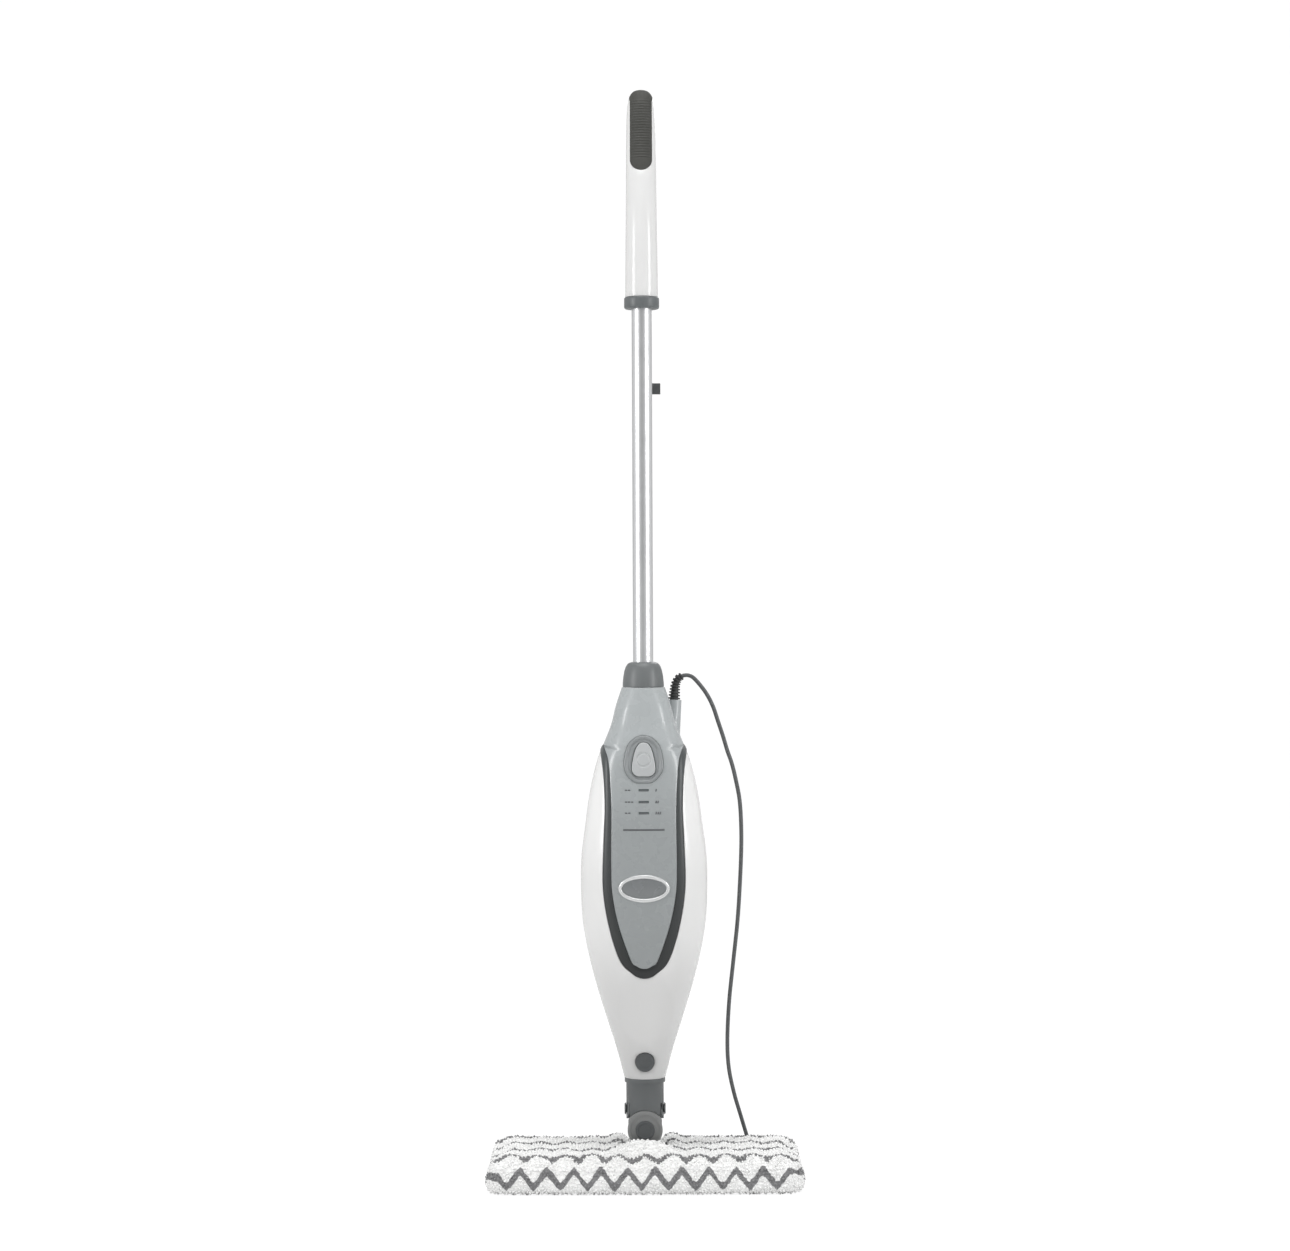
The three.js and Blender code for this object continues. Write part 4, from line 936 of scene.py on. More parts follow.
def nodes_tree(name, inputs):
    """An empty geometry tree with its named inputs, after the geometry it works on."""
    tree = bpy.data.node_groups.new(name, "GeometryNodeTree")
    tree.interface.new_socket("Geometry", in_out="INPUT", socket_type="NodeSocketGeometry")
    sockets = {}
    for label, kind in inputs:
        sockets[label] = tree.interface.new_socket(label, in_out="INPUT", socket_type=kind).identifier
    tree.interface.new_socket("Geometry", in_out="OUTPUT", socket_type="NodeSocketGeometry")
    return tree, sockets, tree.nodes.new("NodeGroupInput"), tree.nodes.new("NodeGroupOutput")


def worked(piece, tree, settings):
    """Runs a geometry tree on a piece and keeps the result as a plain mesh."""
    step = piece.modifiers.new("nodes", "NODES")
    step.node_group = tree
    for identifier, value in settings.items():
        step[identifier] = value
    return applied(piece)


def placed_copies(tree, source, result, points, instance, also=None, **inputs):
    """Ends a tree: copies set on points, made real, joined to another shape and given the finish."""
    placed = add_node(
        tree, "GeometryNodeInstanceOnPoints", {"Points": points, "Instance": instance, **inputs})
    real = add_node(tree, "GeometryNodeRealizeInstances", {"Geometry": placed.outputs["Instances"]})
    made = real.outputs["Geometry"]
    if also:
        smooth = add_node(tree, "GeometryNodeSetShadeSmooth", {"Geometry": made})
        both = tree.nodes.new("GeometryNodeJoinGeometry")
        tree.links.new(smooth.outputs[0], both.inputs[0])
        tree.links.new(also, both.inputs[0])
        made = both.outputs["Geometry"]
    dressed = add_node(
        tree, "GeometryNodeSetMaterial", {"Geometry": made, "Material": source.outputs["Finish"]})
    tree.links.new(dressed.outputs["Geometry"], result.inputs["Geometry"])


tree, sockets, source, result = nodes_tree(
    "screw_places", [("Screw", "NodeSocketObject"), ("Finish", "NodeSocketMaterial")])
info = add_node(tree, "GeometryNodeObjectInfo", {"Object": source.outputs["Screw"]})
turn_back = add_node(tree, "FunctionNodeEulerToRotation", Euler=(-math.pi / 2, 0, 0))
placed_copies(tree, source, result, source.outputs["Geometry"], info.outputs["Geometry"],
              Rotation=turn_back.outputs["Rotation"])
one_screw = cross_screw()
seats = [(x * MM, (seat_depth(x, z) + 0.2) * MM, z * MM) for x, z in SCREW_PLACES]
screws = mesh_object("screw_seats", seats, [])
worked(screws, tree, {sockets["Screw"]: one_screw, sockets["Finish"]: steel})
bpy.data.objects.remove(one_screw)
fit(screws, "rear_screws", "mop_body", "steel", steel, *[f"casing_screw_{i + 1}" for i in range(4)])

hook = block(-10, 10, 45, casing_point(math.pi / 2, 246)[1] + 3.8, 228, 262)
join(hook, block(-8, 8, 50, 76, 240, 247), block(-8, 8, 71, 76, 219, 247))
cut(hook, casing_core(215, 275, 0.3, 120, 20))
fit(eased(hook, 1.2, 4), "rear_cord_hook", "mop_body", "dark_plastic", dark_grey, "lower_cord_hook")

# ---- Neck sleeve and leaning hinge ----
# The charcoal sleeve plugs into the casing. Two rounded ears below hold the pin that the head
# leans on, and an apron with an arched edge covers the joint in front.
ROLL_Z, PITCH_Z, NECK_RADIUS = 60, 81, 20.6
sleeve = rod("z", PITCH_Z + 7, CASING_BOTTOM - 4.6, (0, 0), NECK_RADIUS, sides=128)


def barrel():
    """The round bar that the neck's lower parts are cut from."""
    return rod("z", ROLL_Z, PITCH_Z + 13, (0, 0), NECK_RADIUS, sides=128)


ears = keep(rod("x", -30, 30, (0, PITCH_Z), 10.8, sides=96), barrel())
skirt = keep(barrel(), block(-30, 30, -30, -12.3, PITCH_Z - 9.5, PITCH_Z + 8))
webs = keep(barrel(), block(-30, 30, -10.8, 10.8, PITCH_Z, PITCH_Z + 8))
join(sleeve, skirt, webs, ears, rod("z", CASING_BOTTOM - 5, CASING_BOTTOM - 0.3, (0, 0), 22.3, sides=128),
     rod("z", CASING_BOTTOM - 1, 150, (0, 0), 15, sides=96))
groove = turned([(13.8, 139.4), (16, 139.4), (16, 143.6), (13.8, 143.6)], "groove")
cut(sleeve, block(-12, 12, -12.3, 30, 60, PITCH_Z + 20), rod("y", -40, -11.6, (0, ROLL_Z), 21.8, sides=128),
    rod("x", -30, 30, (0, PITCH_Z), 4.8, sides=48),
    rod("z", PITCH_Z + 10, 160, (0, 0), 3.5, sides=32), groove)
charcoal = moulded("charcoal_plastic", (0.100, 0.107, 0.109), 0.42, 0.04, (1400, 0.15), 0.08)
fit(eased(sleeve, 0.5, 3), "neck_barrel", "neck", "dark_plastic", charcoal, "neck_sleeve")

pin = rod("x", -21, 21, (0, PITCH_Z), 4.5, sides=48)
join(pin, rod("x", 20.9, 22.6, (0, PITCH_Z), 6.8, 5.6, sides=64),
     rod("x", -22.6, -20.9, (0, PITCH_Z), 5.6, 6.8, sides=64))
fit(eased(pin, 0.35, 3), "leaning_pin", "neck", "dark_plastic", dark_grey, "pitch_pin")

# ---- Knuckle and tipping hinge ----
# The knuckle turns on the leaning pin above and carries a large round boss in front, through
# which the tipping pin passes. The pin's broad head shows as a ring within the boss.
knuckle = rod("x", -11.6, 11.6, (0, PITCH_Z), 9.6, sides=96)
shoulders = keep(rod("y", -20, -11.2, (0, ROLL_Z), 21.3, sides=128),
                 block(-18.4, 18.4, -30, 0, ROLL_Z, ROLL_Z + 30))
join(knuckle, block(-11.6, 11.6, -11.2, 16.5, ROLL_Z, PITCH_Z),
     rod("y", -20, -11, (0, ROLL_Z), 19.2, sides=128), shoulders,
     rod("y", 10.9, 16.5, (0, ROLL_Z), 11.5, sides=96))
step_ring = turned([(13.2, -0.9), (16.6, -0.9), (16.6, 2), (13.2, 2)], "step_ring", 128)
boss_face = Matrix.Translation(Vector((0, -20, ROLL_Z)) * MM)
step_ring.data.transform(boss_face @ Matrix.Rotation(math.pi / 2, 4, "X"))
cut(knuckle, rod("y", -10.9, 10.9, (0, ROLL_Z), 11.1, sides=96),
    rod("x", -30, 30, (0, PITCH_Z), 4.8, sides=48),
    rod("y", -30, 30, (0, ROLL_Z), 5.3, sides=48), step_ring)
knuckle_plastic = moulded("knuckle_plastic", (0.19, 0.194, 0.192), 0.42, 0.03, (1400, 0.15), 0.05)
fit(eased(knuckle, 0.6, 3), "hinge_knuckle", "knuckle", "dark_plastic", knuckle_plastic, "swivel_knuckle")

pin = rod("y", -21, 19.5, (0, ROLL_Z), 5, sides=48)
join(pin, rod("y", -22.4, -20.3, (0, ROLL_Z), 10.5, sides=96), rod("y", 16.8, 20, (0, ROLL_Z), 8, sides=6))
cut(pin, rod("y", -24, -21.7, (0, ROLL_Z), 7.6, sides=96))
fit(eased(pin, 0.4, 3), "tipping_pin", "knuckle", "dark_plastic", dark_grey, "roll_pin")

# ---- Head bracket, base and cover ----
# The head under the pad: a bracket with one round lug for the tipping pin is screwed to a flat
# moulded base, and a thin cover closes it.
lug = rod("y", -10.5, 10.5, (0, ROLL_Z), 10.5, sides=96)
join(lug, block(-7.5, 7.5, -10.5, 10.5, 16, ROLL_Z), block(-32, 32, -24, 24, 13.3, 17.3))
cut(lug, rod("y", -20, 20, (0, ROLL_Z), 5.3, sides=48))
fit(eased(lug, 0.7, 3), "lug_bracket", "mop_head", "dark_plastic", charcoal, "head_bracket")


def rounded_plate(width, depth, radius, z0, z1):
    """A flat plate with round corners between two heights."""
    side, front = width / 2 - radius, depth / 2 - radius
    corners = [(side, front, 0), (-side, front, 90), (-side, -front, 180), (side, -front, 270)]
    line = [(x + radius * math.cos(math.radians(turn + a)), y + radius * math.sin(math.radians(turn + a)))
            for x, y, turn in corners for a in range(0, 91, 6)]
    points = [(x * MM, y * MM, z * MM) for z in (z0, z1) for x, y in line]
    n = len(line)
    faces = [tuple(range(n))[::-1], tuple(range(n, 2 * n))]
    faces += [(i, (i + 1) % n, n + (i + 1) % n, n + i) for i in range(n)]
    return clean(mesh_object("plate", points, faces, False), outward=True)


tray = rounded_plate(322, 148, 14, 8.3, 22)
cut(tray, rounded_plate(316, 142, 11, 13, 30),
    *[rod("z", 0, 20, (x, 0), 3, sides=32) for x in (-110, -55, 0, 55, 110)])
ribs = [block(x - 0.8, x + 0.8, -71.5, 71.5, 12.6, 13.9) for x in (-135, -95, -60, 60, 95, 135)]
for rib in ribs:
    cut(rib, block(-150, 150, 25.4, 36.6, 10, 16))
join(tray, *ribs)
fit(eased(tray, 0.5), "head_tray", "mop_head", "dark_plastic", charcoal, "head_base")
lid = rounded_plate(322, 148, 14, 22.3, 28)
cut(lid, rounded_plate(316, 142, 11, 20, 25.5), block(-13, 13, -13, 13, 15, 40),
    *[block(x - 20, x + 20, y - 0.5, y + 0.5, 27.6, 30) for x in (-100, 100) for y in range(-50, 51, 10)])
fit(eased(lid, 0.5), "head_lid", "mop_head", "dark_plastic", charcoal, "head_cover")

# ---- Tube collar, tube and upper cord hook ----
# The aluminium tube is drawn and brushed along its length. A soft-cornered grey collar closes the
# casing round it, and a clip high on its back carries the hook that the cord is wound on.
BORE = TUBE_RADIUS + 0.3
profile = [(BORE, 544.3), (22.2, 544.3), (22.7, 544.9), (22.6, 549), (21.9, 556), (20.8, 562), (19.4, 566.4),
           (17.6, 569.4), (15.6, 571), (13.2, 571.8), (BORE, 572)]
collar = sharpened(turned(profile, "collar_form", 128))
collar_plastic = moulded("collar_plastic", (0.142, 0.152, 0.154), 0.36, 0.03, (1600, 0.1), 0.06)
fit(collar, "tube_foot_collar", "mop_body", "dark_plastic", collar_plastic, "tube_collar")

tube_heights = list(np.linspace(505, 1010, 60))
profile = [(TUBE_RADIUS, z) for z in tube_heights] + [(TUBE_RADIUS - 1.2, z) for z in tube_heights[::-1]]
tube = sharpened(turned(profile, "tube_form"))
tube_metal = moulded("brushed_aluminium", (0.83, 0.84, 0.85), 0.30, 0.004, (2600, 0.03), 0.01, metallic=1.0)
tree = tube_metal.node_tree
place = tree.nodes.new("ShaderNodeTexCoord").outputs["Object"]
stretch = add_node(tree, "ShaderNodeMapping", {"Vector": place}, Scale=(1400, 1400, 12))
bumped(tree, tree.nodes["Principled BSDF"], textured(tree, stretch.outputs["Vector"], 1.0, 4), 0.06, 0.2)
fit(tube, "drawn_tube", "mop_body", "tube_metal", tube_metal, "handle_tube")

HOOK_Z = 876
clip = block(-9.6, 9.6, 4, 14, HOOK_Z - 14, HOOK_Z + 14)
join(clip, rod("y", 13, 18, (0, HOOK_Z), 8, sides=64))
cut(clip, rod("z", HOOK_Z - 20, HOOK_Z + 20, (0, 0), BORE, sides=96))
fit(eased(clip, 0.5, 3), "hook_clip", "mop_body", "dark_plastic", dark_grey, "cord_hook_base")
arm = rod("y", 18.3, 24, (0, HOOK_Z), 7, sides=64)
join(arm, block(-5, 5, 23, 52, HOOK_Z - 5, HOOK_Z + 5), block(-5, 20.4, 46, 52, HOOK_Z - 6, HOOK_Z + 6))
fit(eased(arm, 1.2, 4), "hook_finger", "cord_hook_arm", "dark_plastic", dark_grey, "cord_hook_arm")

# ---- Handle ----
# Two white half shells, screwed together round the top of the tube, curve back to the grip. A
# grey ring closes their lower end.
# Height, half width, half depth and the middle's distance behind the tube, in millimetres
HANDLE_STATIONS = np.array([
    [973, 18.0, 18.0, 0], [1020, 17.6, 17.8, 1], [1065, 17.0, 17.6, 5], [1105, 16.7, 17.4, 12],
    [1140, 16.5, 17.2, 21], [1175, 15.8, 16.4, 31], [1194, 14.2, 14.6, 36.5], [1202, 11.4, 11.8, 38.7],
    [1206, 7.6, 8.0, 39.9], [1207.4, 3.0, 3.2, 40.3], [1207.6, 0.4, 0.4, 40.4],
])
HANDLE_FOOT, HANDLE_TOP = 973, 1207.6
HANDLE_SEAM = 0.008  # angle between a half shell's edge and the middle line


def handle_point(angle, z, proud=0.0):
    """A point of the handle at a direction and a height, in millimetres."""
    _, width, depth, middle = station_at(HANDLE_STATIONS, min(z, HANDLE_TOP))
    width, depth = max(width, 0.2) + proud, max(depth, 0.2) + proud
    return width * math.cos(angle), middle + depth * math.sin(angle), z + proud * max(0.0, (z - 1196) / 12)


def handle_angle(x, z):
    """Direction of the point on the handle's front at x and z."""
    _, width, _, _ = station_at(HANDLE_STATIONS, min(z, HANDLE_TOP))
    return -math.acos(min(1.0, max(-1.0, x / width)))


GRIP_HALF = [(12 * math.sin(math.radians(a)), 1125 - 12 * math.cos(math.radians(a)))
             for a in range(0, 91, 10)]
GRIP_HALF += [(12, z) for z in (1140, 1155, 1170, 1185, 1194)]
GRIP_SIDE_TOP = 1200.5
inner = both_sides(half_outline(GRIP_HALF, GRIP_SIDE_TOP, 70, spread=0.3, angle_of=handle_angle))
inner[:, 0] = np.clip(inner[:, 0], LEFT + HANDLE_SEAM, -HANDLE_SEAM)
rows = u_rows(inner, HANDLE_FOOT, GRIP_SIDE_TOP, 18, 53, 18, -HANDLE_SEAM)
handle_front = thicken(panel("handle_front_form", rows, handle_point), 2.2, (0, 20))
fit(eased(handle_front, 0.3), "handle_front_half", "mop_body", "white_plastic", white_plastic,
    "handle_front_shell")
heights = [*np.linspace(HANDLE_FOOT, 1196, 70), 1199, 1201, 1203, 1204.5, 1205.8, 1206.6, 1207.2, HANDLE_TOP]
rows = [[(angle, z) for angle in np.linspace(HANDLE_SEAM, math.pi - HANDLE_SEAM, 48)] for z in heights]
handle_rear = thicken(panel("handle_rear_form", rows, handle_point), 2.0, (0, 10))
fit(eased(handle_rear, 0.3), "handle_rear_half", "mop_body", "white_plastic", white_plastic,
    "handle_rear_shell")

profile = [(BORE, 960), (17.8, 960), (18.6, 960.5), (19.3, 962), (19.3, 971), (19.0, 972), (18.2, 972.6),
           (BORE, 972.6)]
ring = sharpened(turned(profile, "ring_form", 128))
ring_plastic = moulded("ring_plastic", (0.12, 0.13, 0.134), 0.36, 0.03, (1600, 0.1), 0.06)
fit(ring, "handle_foot_ring", "mop_body", "dark_plastic", ring_plastic, "handle_collar")

# ---- Grip ----
# A soft dark rubber pad lies in the handle's front and wraps over its top. Fine ribs run across
# it so that it doesn't slip in a wet hand.
GRIP_PITCH = 3.1


def grip_point(angle, z):
    """A point of the grip, raised in ridges that die out towards its border."""
    ridge = 0.5 + 0.5 * math.cos(2 * math.pi * (z - 1113) / GRIP_PITCH)
    border = min(1.0, max(0.0, (z - 1117) / 4)) * min(1.0, max(0.0, (1198 - z) / 6))
    x, _, _ = handle_point(angle, z)
    border *= min(1.0, max(0.0, (10.6 - abs(x)) / 1.2))
    return handle_point(angle, z, 0.25 + 0.75 * ridge * border)


outline = half_outline(GRIP_HALF, GRIP_SIDE_TOP, 60, angle_of=handle_angle)
curve_z, curve_angle = outline[:, 1], outline[:, 0]
heights = list(curve_z[:14]) + list(np.arange(curve_z[13] + 0.5, 1196, 0.52)) + [1197.5, 1199, GRIP_SIDE_TOP]
heights += [1202, 1203.5, 1205, 1206, 1206.8, 1207.3, HANDLE_TOP]
rows = []
for z in heights:
    reach = np.interp(z, curve_z, curve_angle) if z < GRIP_SIDE_TOP else -0.01
    rows.append([(FRONT + (min(reach, -0.01) - FRONT) * t, z) for t in np.linspace(-1, 1, 30)])
grip = thicken(panel("grip_form", rows, grip_point), 2.4, (0, 45))
soft_grip = moulded("soft_grip", (0.042, 0.042, 0.037), 0.62, 0.05, (1800, 0.25), 0.08)
fit(eased(grip, 0.25, 1, 60, 50), "ribbed_grip", "mop_body", "soft_grip", soft_grip, "handle_grip")

# ---- Strain relief, strap and plug ----
# A black rubber strain relief tapers from the socket to the cord, ringed so that it bends evenly.
# The hank is held by a flat rubber strap, and the lead ends in a plain moulded plug.
# The bend of the relief from inside the socket to where the lead leaves it
RELIEF_LINE = [(33.8, 29.2, 525.5), (34.6, 29.6, 536), (35.8, 30.2, 546.5), (38.8, 30.9, 553.0),
               (43.0, 31.6, 555.8)]
RELIEF_RINGS = 9
RELIEF_LENGTH = 32.0
relief = rod("z", 0, RELIEF_LENGTH, (0, 0), 5.0, 2.9, sides=48, name="relief_core")
tree, sockets, source, result = nodes_tree("relief_rings", [
    ("Rings", "NodeSocketInt"), ("Length", "NodeSocketFloat"), ("Base Radius", "NodeSocketFloat"),
    ("Tip Radius", "NodeSocketFloat"), ("Finish", "NodeSocketMaterial")])
line = add_node(tree, "GeometryNodeMeshLine", {"Count": source.outputs["Rings"]})
line.mode = "END_POINTS"
top = add_node(tree, "ShaderNodeCombineXYZ", {"Z": source.outputs["Length"]})
line.inputs["Start Location"].default_value = (0, 0, 5.4 * MM)
tree.links.new(top.outputs["Vector"], line.inputs["Offset"])
number = tree.nodes.new("GeometryNodeInputIndex")
share = add_node(tree, "ShaderNodeMapRange", {
    "Value": number.outputs["Index"], "From Max": source.outputs["Rings"],
    "To Min": source.outputs["Base Radius"], "To Max": source.outputs["Tip Radius"]})
disc = add_node(tree, "GeometryNodeMeshCylinder", Vertices=40, Radius=1.0, Depth=1.7 * MM)
scale = add_node(
    tree, "ShaderNodeCombineXYZ", {"X": share.outputs["Result"], "Y": share.outputs["Result"]}, Z=1.0)
placed_copies(tree, source, result, line.outputs["Mesh"], disc.outputs["Mesh"], Scale=scale.outputs["Vector"])
rubber = moulded("black_rubber", (0.040, 0.041, 0.042), 0.5, 0.05, (1800, 0.2), 0.08)
rings = mesh_object("relief_rings_form", [(0, 0, 0)], [])
worked(rings, tree, {
    sockets["Rings"]: RELIEF_RINGS, sockets["Length"]: (RELIEF_LENGTH - 1.2) * MM,
    sockets["Base Radius"]: 6.6 * MM, sockets["Tip Radius"]: 4.0 * MM, sockets["Finish"]: rubber})


def separated(piece):
    """The loose bodies of a piece, each as an object of its own."""
    shape = bmesh.new()
    shape.from_mesh(piece.data)
    made, seen = [], set()
    for start in shape.verts:
        island, waiting = [], [start]
        while waiting:
            vert = waiting.pop()
            if vert.index not in seen:
                seen.add(vert.index)
                island.append(vert)
                waiting += [edge.other_vert(vert) for edge in vert.link_edges]
        if island:
            number = {vert.index: k for k, vert in enumerate(island)}
            faces = [tuple(number[v.index] for v in f.verts)
                     for f in shape.faces if f.verts[0].index in number]
            made.append(mesh_object("loose_body", [tuple(vert.co) for vert in island], faces))
    shape.free()
    bpy.data.objects.remove(piece)
    return made


join(relief, *separated(rings))
eased(relief, 0.25, 2)
bend = catmull(RELIEF_LINE, 0.5)
run = np.concatenate([[0], np.cumsum(np.linalg.norm(np.diff(bend, axis=0), axis=1))])
run *= RELIEF_LENGTH / run[-1]


def on_bend(along):
    """The point of the bend at a distance from its start."""
    return Vector([np.interp(along, run, bend[:, k]) for k in range(3)])


for vertex in relief.data.vertices:
    along = vertex.co.z / MM
    heading = (on_bend(min(along + 1, run[-1])) - on_bend(max(along - 1, 0))).normalized()
    side = Vector((0, 1, 0)).cross(heading).normalized()
    vertex.co = on_bend(along) * MM + side * vertex.co.x + heading.cross(side) * vertex.co.y
fit(relief, "ringed_strain_relief", "mop_body", "rubber", rubber, "cord_strain_relief")

strap = block(21.4, 32.6, 118.5, 195.5, 0.15, 17.7)
cut(strap, block(15, 40, 119.7, 194.3, 1.35, 16.6))
join(strap, block(23.5, 30.5, 150, 164, 17.0, 18.6))
cut(strap, *[block(20, 34, y, y + 0.8, 18.2, 20) for y in np.arange(152, 163, 2)])
fit(eased(strap, 0.5, 3), "hank_strap", "mop_body", "rubber", rubber, "cord_tie")

plug = block(124, 150, 111.2, 134.4, 0.6, 17.4)
join(plug, rod("x", 114, 124.6, (122.8, 9), 3.4, 6.4, sides=64))
cut(plug, *[block(x, x + 1.2, y, y + 12, 2, 16) for y in (100, 133.6) for x in (131, 134.5, 138)],
    rod("z", 16.7, 20, (137, 122.8), 5.5, sides=64))
eased(plug, 1.6, 4)
plug_plastic = moulded("plug_plastic", (0.07, 0.073, 0.075), 0.42, 0.05, (1600, 0.15), 0.08)
prongs = [eased(rod("x", 149, 167, (y, 9), 2.3, sides=40), 0.8, 3) for y in (115.8, 129.8)]
fit(plug, "mains_plug_body", "mop_body", "dark_plastic", plug_plastic, "mains_plug")
fit(merged(prongs), "mains_plug_pins", "mop_body", "steel", steel)

# ---- Mop pad ----
# A washable pocket of white chenille slips over the head, with its soft loops cut short. Bands
# of grey yarn are worked into it in zigzags, round its edge and in rows across its top.
PAD_TUFT = 1.55 * MM  # half thickness of one loop of yarn
PAD_SINK = 1.9 * MM  # how far the backing lies under the outside of the loops
PAD_CAP = 3.5 * MM  # the most that the cloth may move as it is blown out
# Half width, half depth, floor and roof of the room inside
POCKET = (161.5 * MM, 74.5 * MM, 8 * MM, 28.6 * MM)
POCKET_MARGIN = 2.2 * MM
ZIGZAG = 14.5 * MM  # half the width of one zig and zag
EDGE_MIDDLE, EDGE_SWING, EDGE_BAND = 18.5 * MM, 8.0 * MM, 4.3 * MM
source_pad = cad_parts["mop_pad"]
pad_mesh = source_pad.data.copy()
pad = bpy.data.objects.new("pad_form", pad_mesh)
bpy.context.scene.collection.objects.link(pad)
pad_mesh.transform(source_pad.matrix_world)
clean(pad)
remesh = pad.modifiers.new("remesh", "REMESH")
remesh.mode = "VOXEL"
remesh.voxel_size = 4.0 * MM
applied(pad)


def read_vectors(collection, kind):
    """A property of every element as rows of three numbers."""
    values = np.empty(len(collection) * 3)
    collection.foreach_get(kind, values)
    return values.reshape(-1, 3)


start = read_vectors(pad.data.vertices, "co")
normals = read_vectors(pad.data.vertex_normals, "vector")
in_pocket = ((abs(start[:, 0]) < POCKET[0] + POCKET_MARGIN) & (abs(start[:, 1]) < POCKET[1] + POCKET_MARGIN)
             & (start[:, 2] > POCKET[2] - POCKET_MARGIN) & (start[:, 2] < POCKET[3] + POCKET_MARGIN))
outside = ~in_pocket
start[outside] -= normals[outside] * PAD_SINK
pad.data.vertices.foreach_set("co", start.ravel())
pad.data.update()
held = pad.vertex_groups.new(name="held")
still = np.where(in_pocket | (start[:, 2] < 4 * MM))[0]
held.add([int(i) for i in still], 1.0, "REPLACE")
cloth = pad.modifiers.new("cloth", "CLOTH")
cloth.settings.use_pressure = True
cloth.settings.uniform_pressure_force = 4.0
cloth.settings.effector_weights.gravity = 0.0
cloth.settings.vertex_group_mass = "held"
cloth.settings.quality = 4
for number in range(1, 21):
    bpy.context.scene.frame_set(number)
applied(pad)
bpy.context.scene.frame_set(1)
shift = read_vectors(pad.data.vertices, "co") - start
far = np.linalg.norm(shift, axis=1)
shift *= np.minimum(1.0, PAD_CAP / np.maximum(far, 1e-9))[:, None]
points = start + shift
# The cloth is drawn up into soft lips where it is gathered round the neck
beside = np.exp(-((np.abs(points[:, 0]) - 29 * MM) / (9 * MM)) ** 2)
top = (points[:, 2] > 34 * MM) & outside
lip = beside * np.clip((points[:, 1] + 40 * MM) / (20 * MM), 0, 1)
front_lip = np.exp(-((points[:, 1] + 33 * MM) / (9 * MM)) ** 2 - (points[:, 0] / (30 * MM)) ** 4)
points[:, 2] += np.where(top, MM * np.maximum(5.0 * lip, 13.0 * front_lip), 0)
ripple = 0.7 * MM * np.sin(points[:, 0] / (13 * MM)) * np.sin(points[:, 1] / (11 * MM) + 0.6)
points[:, 2] += np.where(top, ripple, 0)
pad.data.vertices.foreach_set("co", points.ravel())
pad.data.update()
cover = pad.data.attributes.new("tufted", "FLOAT", "POINT")
amount = np.where(outside, 1.0, 0.0)
amount[(points[:, 2] < 3 * MM)] *= 0.45
cover.data.foreach_set("value", amount)

pad_cloth, tree, shader = new_material(
    "chenille_yarn", Roughness=0.95, Sheen_Weight=0.35, Sheen_Roughness=0.5, Specular_IOR_Level=0.15)
nodes, links = tree.nodes, tree.links


def number_node(operation, first, second=None):
    """A sum on one or two values, each a number or another node's output."""
    node = nodes.new("ShaderNodeMath")
    node.operation = operation
    for k, value in enumerate((first, second)):
        if value is None:
            continue
        if isinstance(value, (int, float)):
            node.inputs[k].default_value = value
        else:
            links.new(value, node.inputs[k])
    return node.outputs[0]


place = nodes.new("ShaderNodeTexCoord").outputs["Object"]
split = add_node(tree, "ShaderNodeSeparateXYZ", {"Vector": place})
x, y, z = split.outputs["X"], split.outputs["Y"], split.outputs["Z"]
fray = number_node("SUBTRACT", textured(tree, place, 260), 0.5)
wander = number_node("SUBTRACT", textured(tree, place, 55), 0.5)
loosen = number_node("ADD", number_node("MULTIPLY", fray, 4.5 * MM), number_node("MULTIPLY", wander, 7 * MM))


def zigzag(along, swing):
    """A line of soft-cornered zigzags that swings to each side of nought."""
    share = number_node("DIVIDE", number_node("PINGPONG", number_node("ADD", along, 1.0), ZIGZAG), ZIGZAG)
    eased_share = nodes.new("ShaderNodeMapRange")
    eased_share.interpolation_type = "SMOOTHSTEP"
    links.new(share, eased_share.inputs["Value"])
    share = number_node("MULTIPLY", number_node("ADD", share, eased_share.outputs["Result"]), 0.5)
    return number_node("MULTIPLY", number_node("SUBTRACT", share, 0.5), 2 * swing)


def band(distance, width):
    """One within a distance of a line and nought beyond it, with a frayed edge."""
    frayed = number_node("ADD", number_node("ABSOLUTE", distance), loosen)
    return ranged(tree, frayed, width + 0.5 * MM, width - 0.5 * MM, 0.0, 1.0)


def within(value, limit):
    """A value held between a limit and its negative."""
    return number_node("MINIMUM", number_node("MAXIMUM", value, -limit), limit)


round_edge = number_node("ADD", within(x, 158 * MM), within(y, 68 * MM))
above_middle = number_node("SUBTRACT", z, EDGE_MIDDLE)
edge_band = band(number_node("SUBTRACT", above_middle, zigzag(round_edge, EDGE_SWING)), EDGE_BAND)
row = number_node("SUBTRACT", number_node("ADD", y, 63 * MM), zigzag(x, 7 * MM))
row_near = number_node("PINGPONG", number_node("ADD", row, 42 * MM * 4), 21 * MM)
which = nodes.new("ShaderNodeMix")
which.data_type = "FLOAT"
links.new(ranged(tree, z, 30.5 * MM, 31.5 * MM, 0.0, 1.0), which.inputs["Factor"])
links.new(edge_band, which.inputs["A"])
links.new(band(row_near, 4.2 * MM), which.inputs["B"])
yarns = nodes.new("ShaderNodeMix")
yarns.data_type = "RGBA"
yarns.inputs["A"].default_value = (0.92, 0.92, 0.915, 1)
yarns.inputs["B"].default_value = (0.24, 0.24, 0.245, 1)
links.new(which.outputs["Result"], yarns.inputs["Factor"])
tone = ranged(tree, textured(tree, place, 420), 0.0, 1.0, 0.80, 1.12)
scaled_colour = nodes.new("ShaderNodeVectorMath")
scaled_colour.operation = "SCALE"
links.new(yarns.outputs["Result"], scaled_colour.inputs[0])
links.new(tone, scaled_colour.inputs["Scale"])
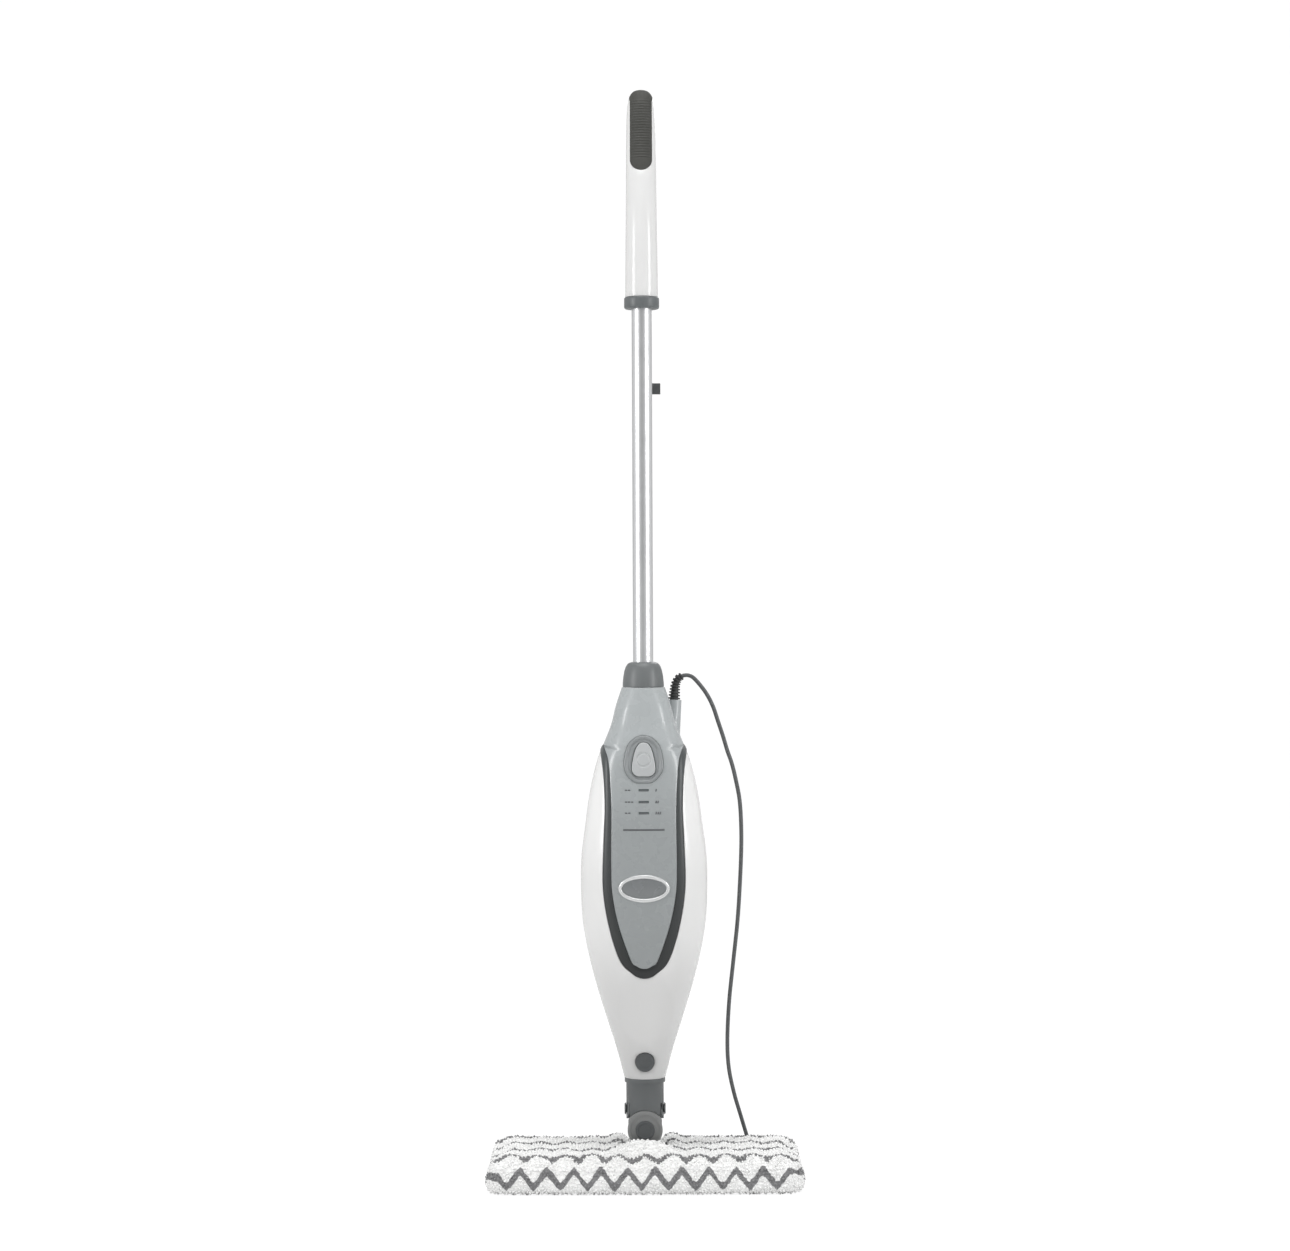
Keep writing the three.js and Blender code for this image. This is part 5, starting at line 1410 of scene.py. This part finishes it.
links.new(scaled_colour.outputs["Vector"], shader.inputs["Base Color"])
bumped(tree, shader, textured(tree, place, 2200), 0.6, 0.4)

tree, sockets, source, result = nodes_tree("chenille_loops", [
    ("Loop Radius", "NodeSocketFloat"), ("Spacing", "NodeSocketFloat"), ("Per Area", "NodeSocketFloat"),
    ("Seed", "NodeSocketInt"), ("Finish", "NodeSocketMaterial")])
mask = add_node(tree, "GeometryNodeInputNamedAttribute", Name="tufted")
spread = tree.nodes.new("GeometryNodeDistributePointsOnFaces")
spread.distribute_method = "POISSON"
spread_from = {"Mesh": "Geometry", "Distance Min": "Spacing", "Density Max": "Per Area", "Seed": "Seed"}
for label, name in spread_from.items():
    tree.links.new(source.outputs[name], spread.inputs[label])
tree.links.new(mask.outputs["Attribute"], spread.inputs["Density Factor"])
loop = add_node(
    tree, "GeometryNodeMeshUVSphere", {"Radius": source.outputs["Loop Radius"]}, Segments=5, Rings=3)


def random_vector(least, most):
    """A different vector for every copy, between two others."""
    value = add_node(tree, "FunctionNodeRandomValue", {"Seed": source.outputs["Seed"]})
    value.data_type = "FLOAT_VECTOR"
    value.inputs[0].default_value = least
    value.inputs[1].default_value = most
    return value.outputs["Value"]


size = random_vector((0.8, 0.8, 1.0), (1.25, 1.25, 2.0))
tilt = random_vector((-0.6, -0.6, -3.1), (0.6, 0.6, 3.1))
lean = add_node(tree, "FunctionNodeEulerToRotation", {"Euler": tilt})
turned_loop = tree.nodes.new("FunctionNodeRotateRotation")
turned_loop.rotation_space = "LOCAL"
tree.links.new(spread.outputs["Rotation"], turned_loop.inputs["Rotation"])
tree.links.new(lean.outputs["Rotation"], turned_loop.inputs["Rotate By"])
placed_copies(
    tree, source, result, spread.outputs["Points"], loop.outputs["Mesh"], also=source.outputs["Geometry"],
    Rotation=turned_loop.outputs["Rotation"], Scale=size)
pad.data.polygons.foreach_set("use_smooth", [True] * len(pad.data.polygons))
worked(pad, tree, {
    sockets["Loop Radius"]: PAD_TUFT, sockets["Spacing"]: 2.7 * MM, sockets["Per Area"]: 260000.0,
    sockets["Seed"]: 7, sockets["Finish"]: pad_cloth})
if pad.data.attributes.get("tufted"):
    pad.data.attributes.remove(pad.data.attributes["tufted"])
fit(pad, "chenille_pad", "mop_head", "pad_cloth", pad_cloth, "mop_pad")

# ---- Working parts inside ----
# The water tank, pump, heater, board and pipes keep their plain shapes, hidden in the casing, and
# take the finish of the real material: moulded plastic, black rubber, zinc, cast aluminium and a green board.
black_plastic = moulded("black_plastic", (0.045, 0.047, 0.048), 0.45, 0.05, (1800, 0.2), 0.08)
cast_metal = moulded("cast_aluminium", (0.55, 0.56, 0.57), 0.45, 0.06, (900, 0.4), 0.1, metallic=1.0)
board_green = moulded("board_green", (0.02, 0.16, 0.07), 0.35, 0.1, (500, 0.1), 0.1)
tank_plastic = moulded("tank_plastic", (0.62, 0.68, 0.72), 0.16, 0.03, (600, 0.05), 0.05, coat=0.3)
INSIDE = {
    tank_plastic: ["water_tank"], board_green: ["control_board"], cast_metal: ["heater_block"],
    steel: ["thermostat", "steam_pipe", "latch_spring", "filler_hinge_pin"],
    rubber: ["feed_hose", "delivery_hose", "neck_seal", "filler_seal"],
    dark_grey: ["filler_neck"],
    black_plastic: ["steam_switch", "pump", "neck_socket", "steam_manifold"],
}
for finish, names in INSIDE.items():
    for name in names:
        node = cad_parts[name]
        node.data.materials.clear()
        node.data.materials.append(finish)
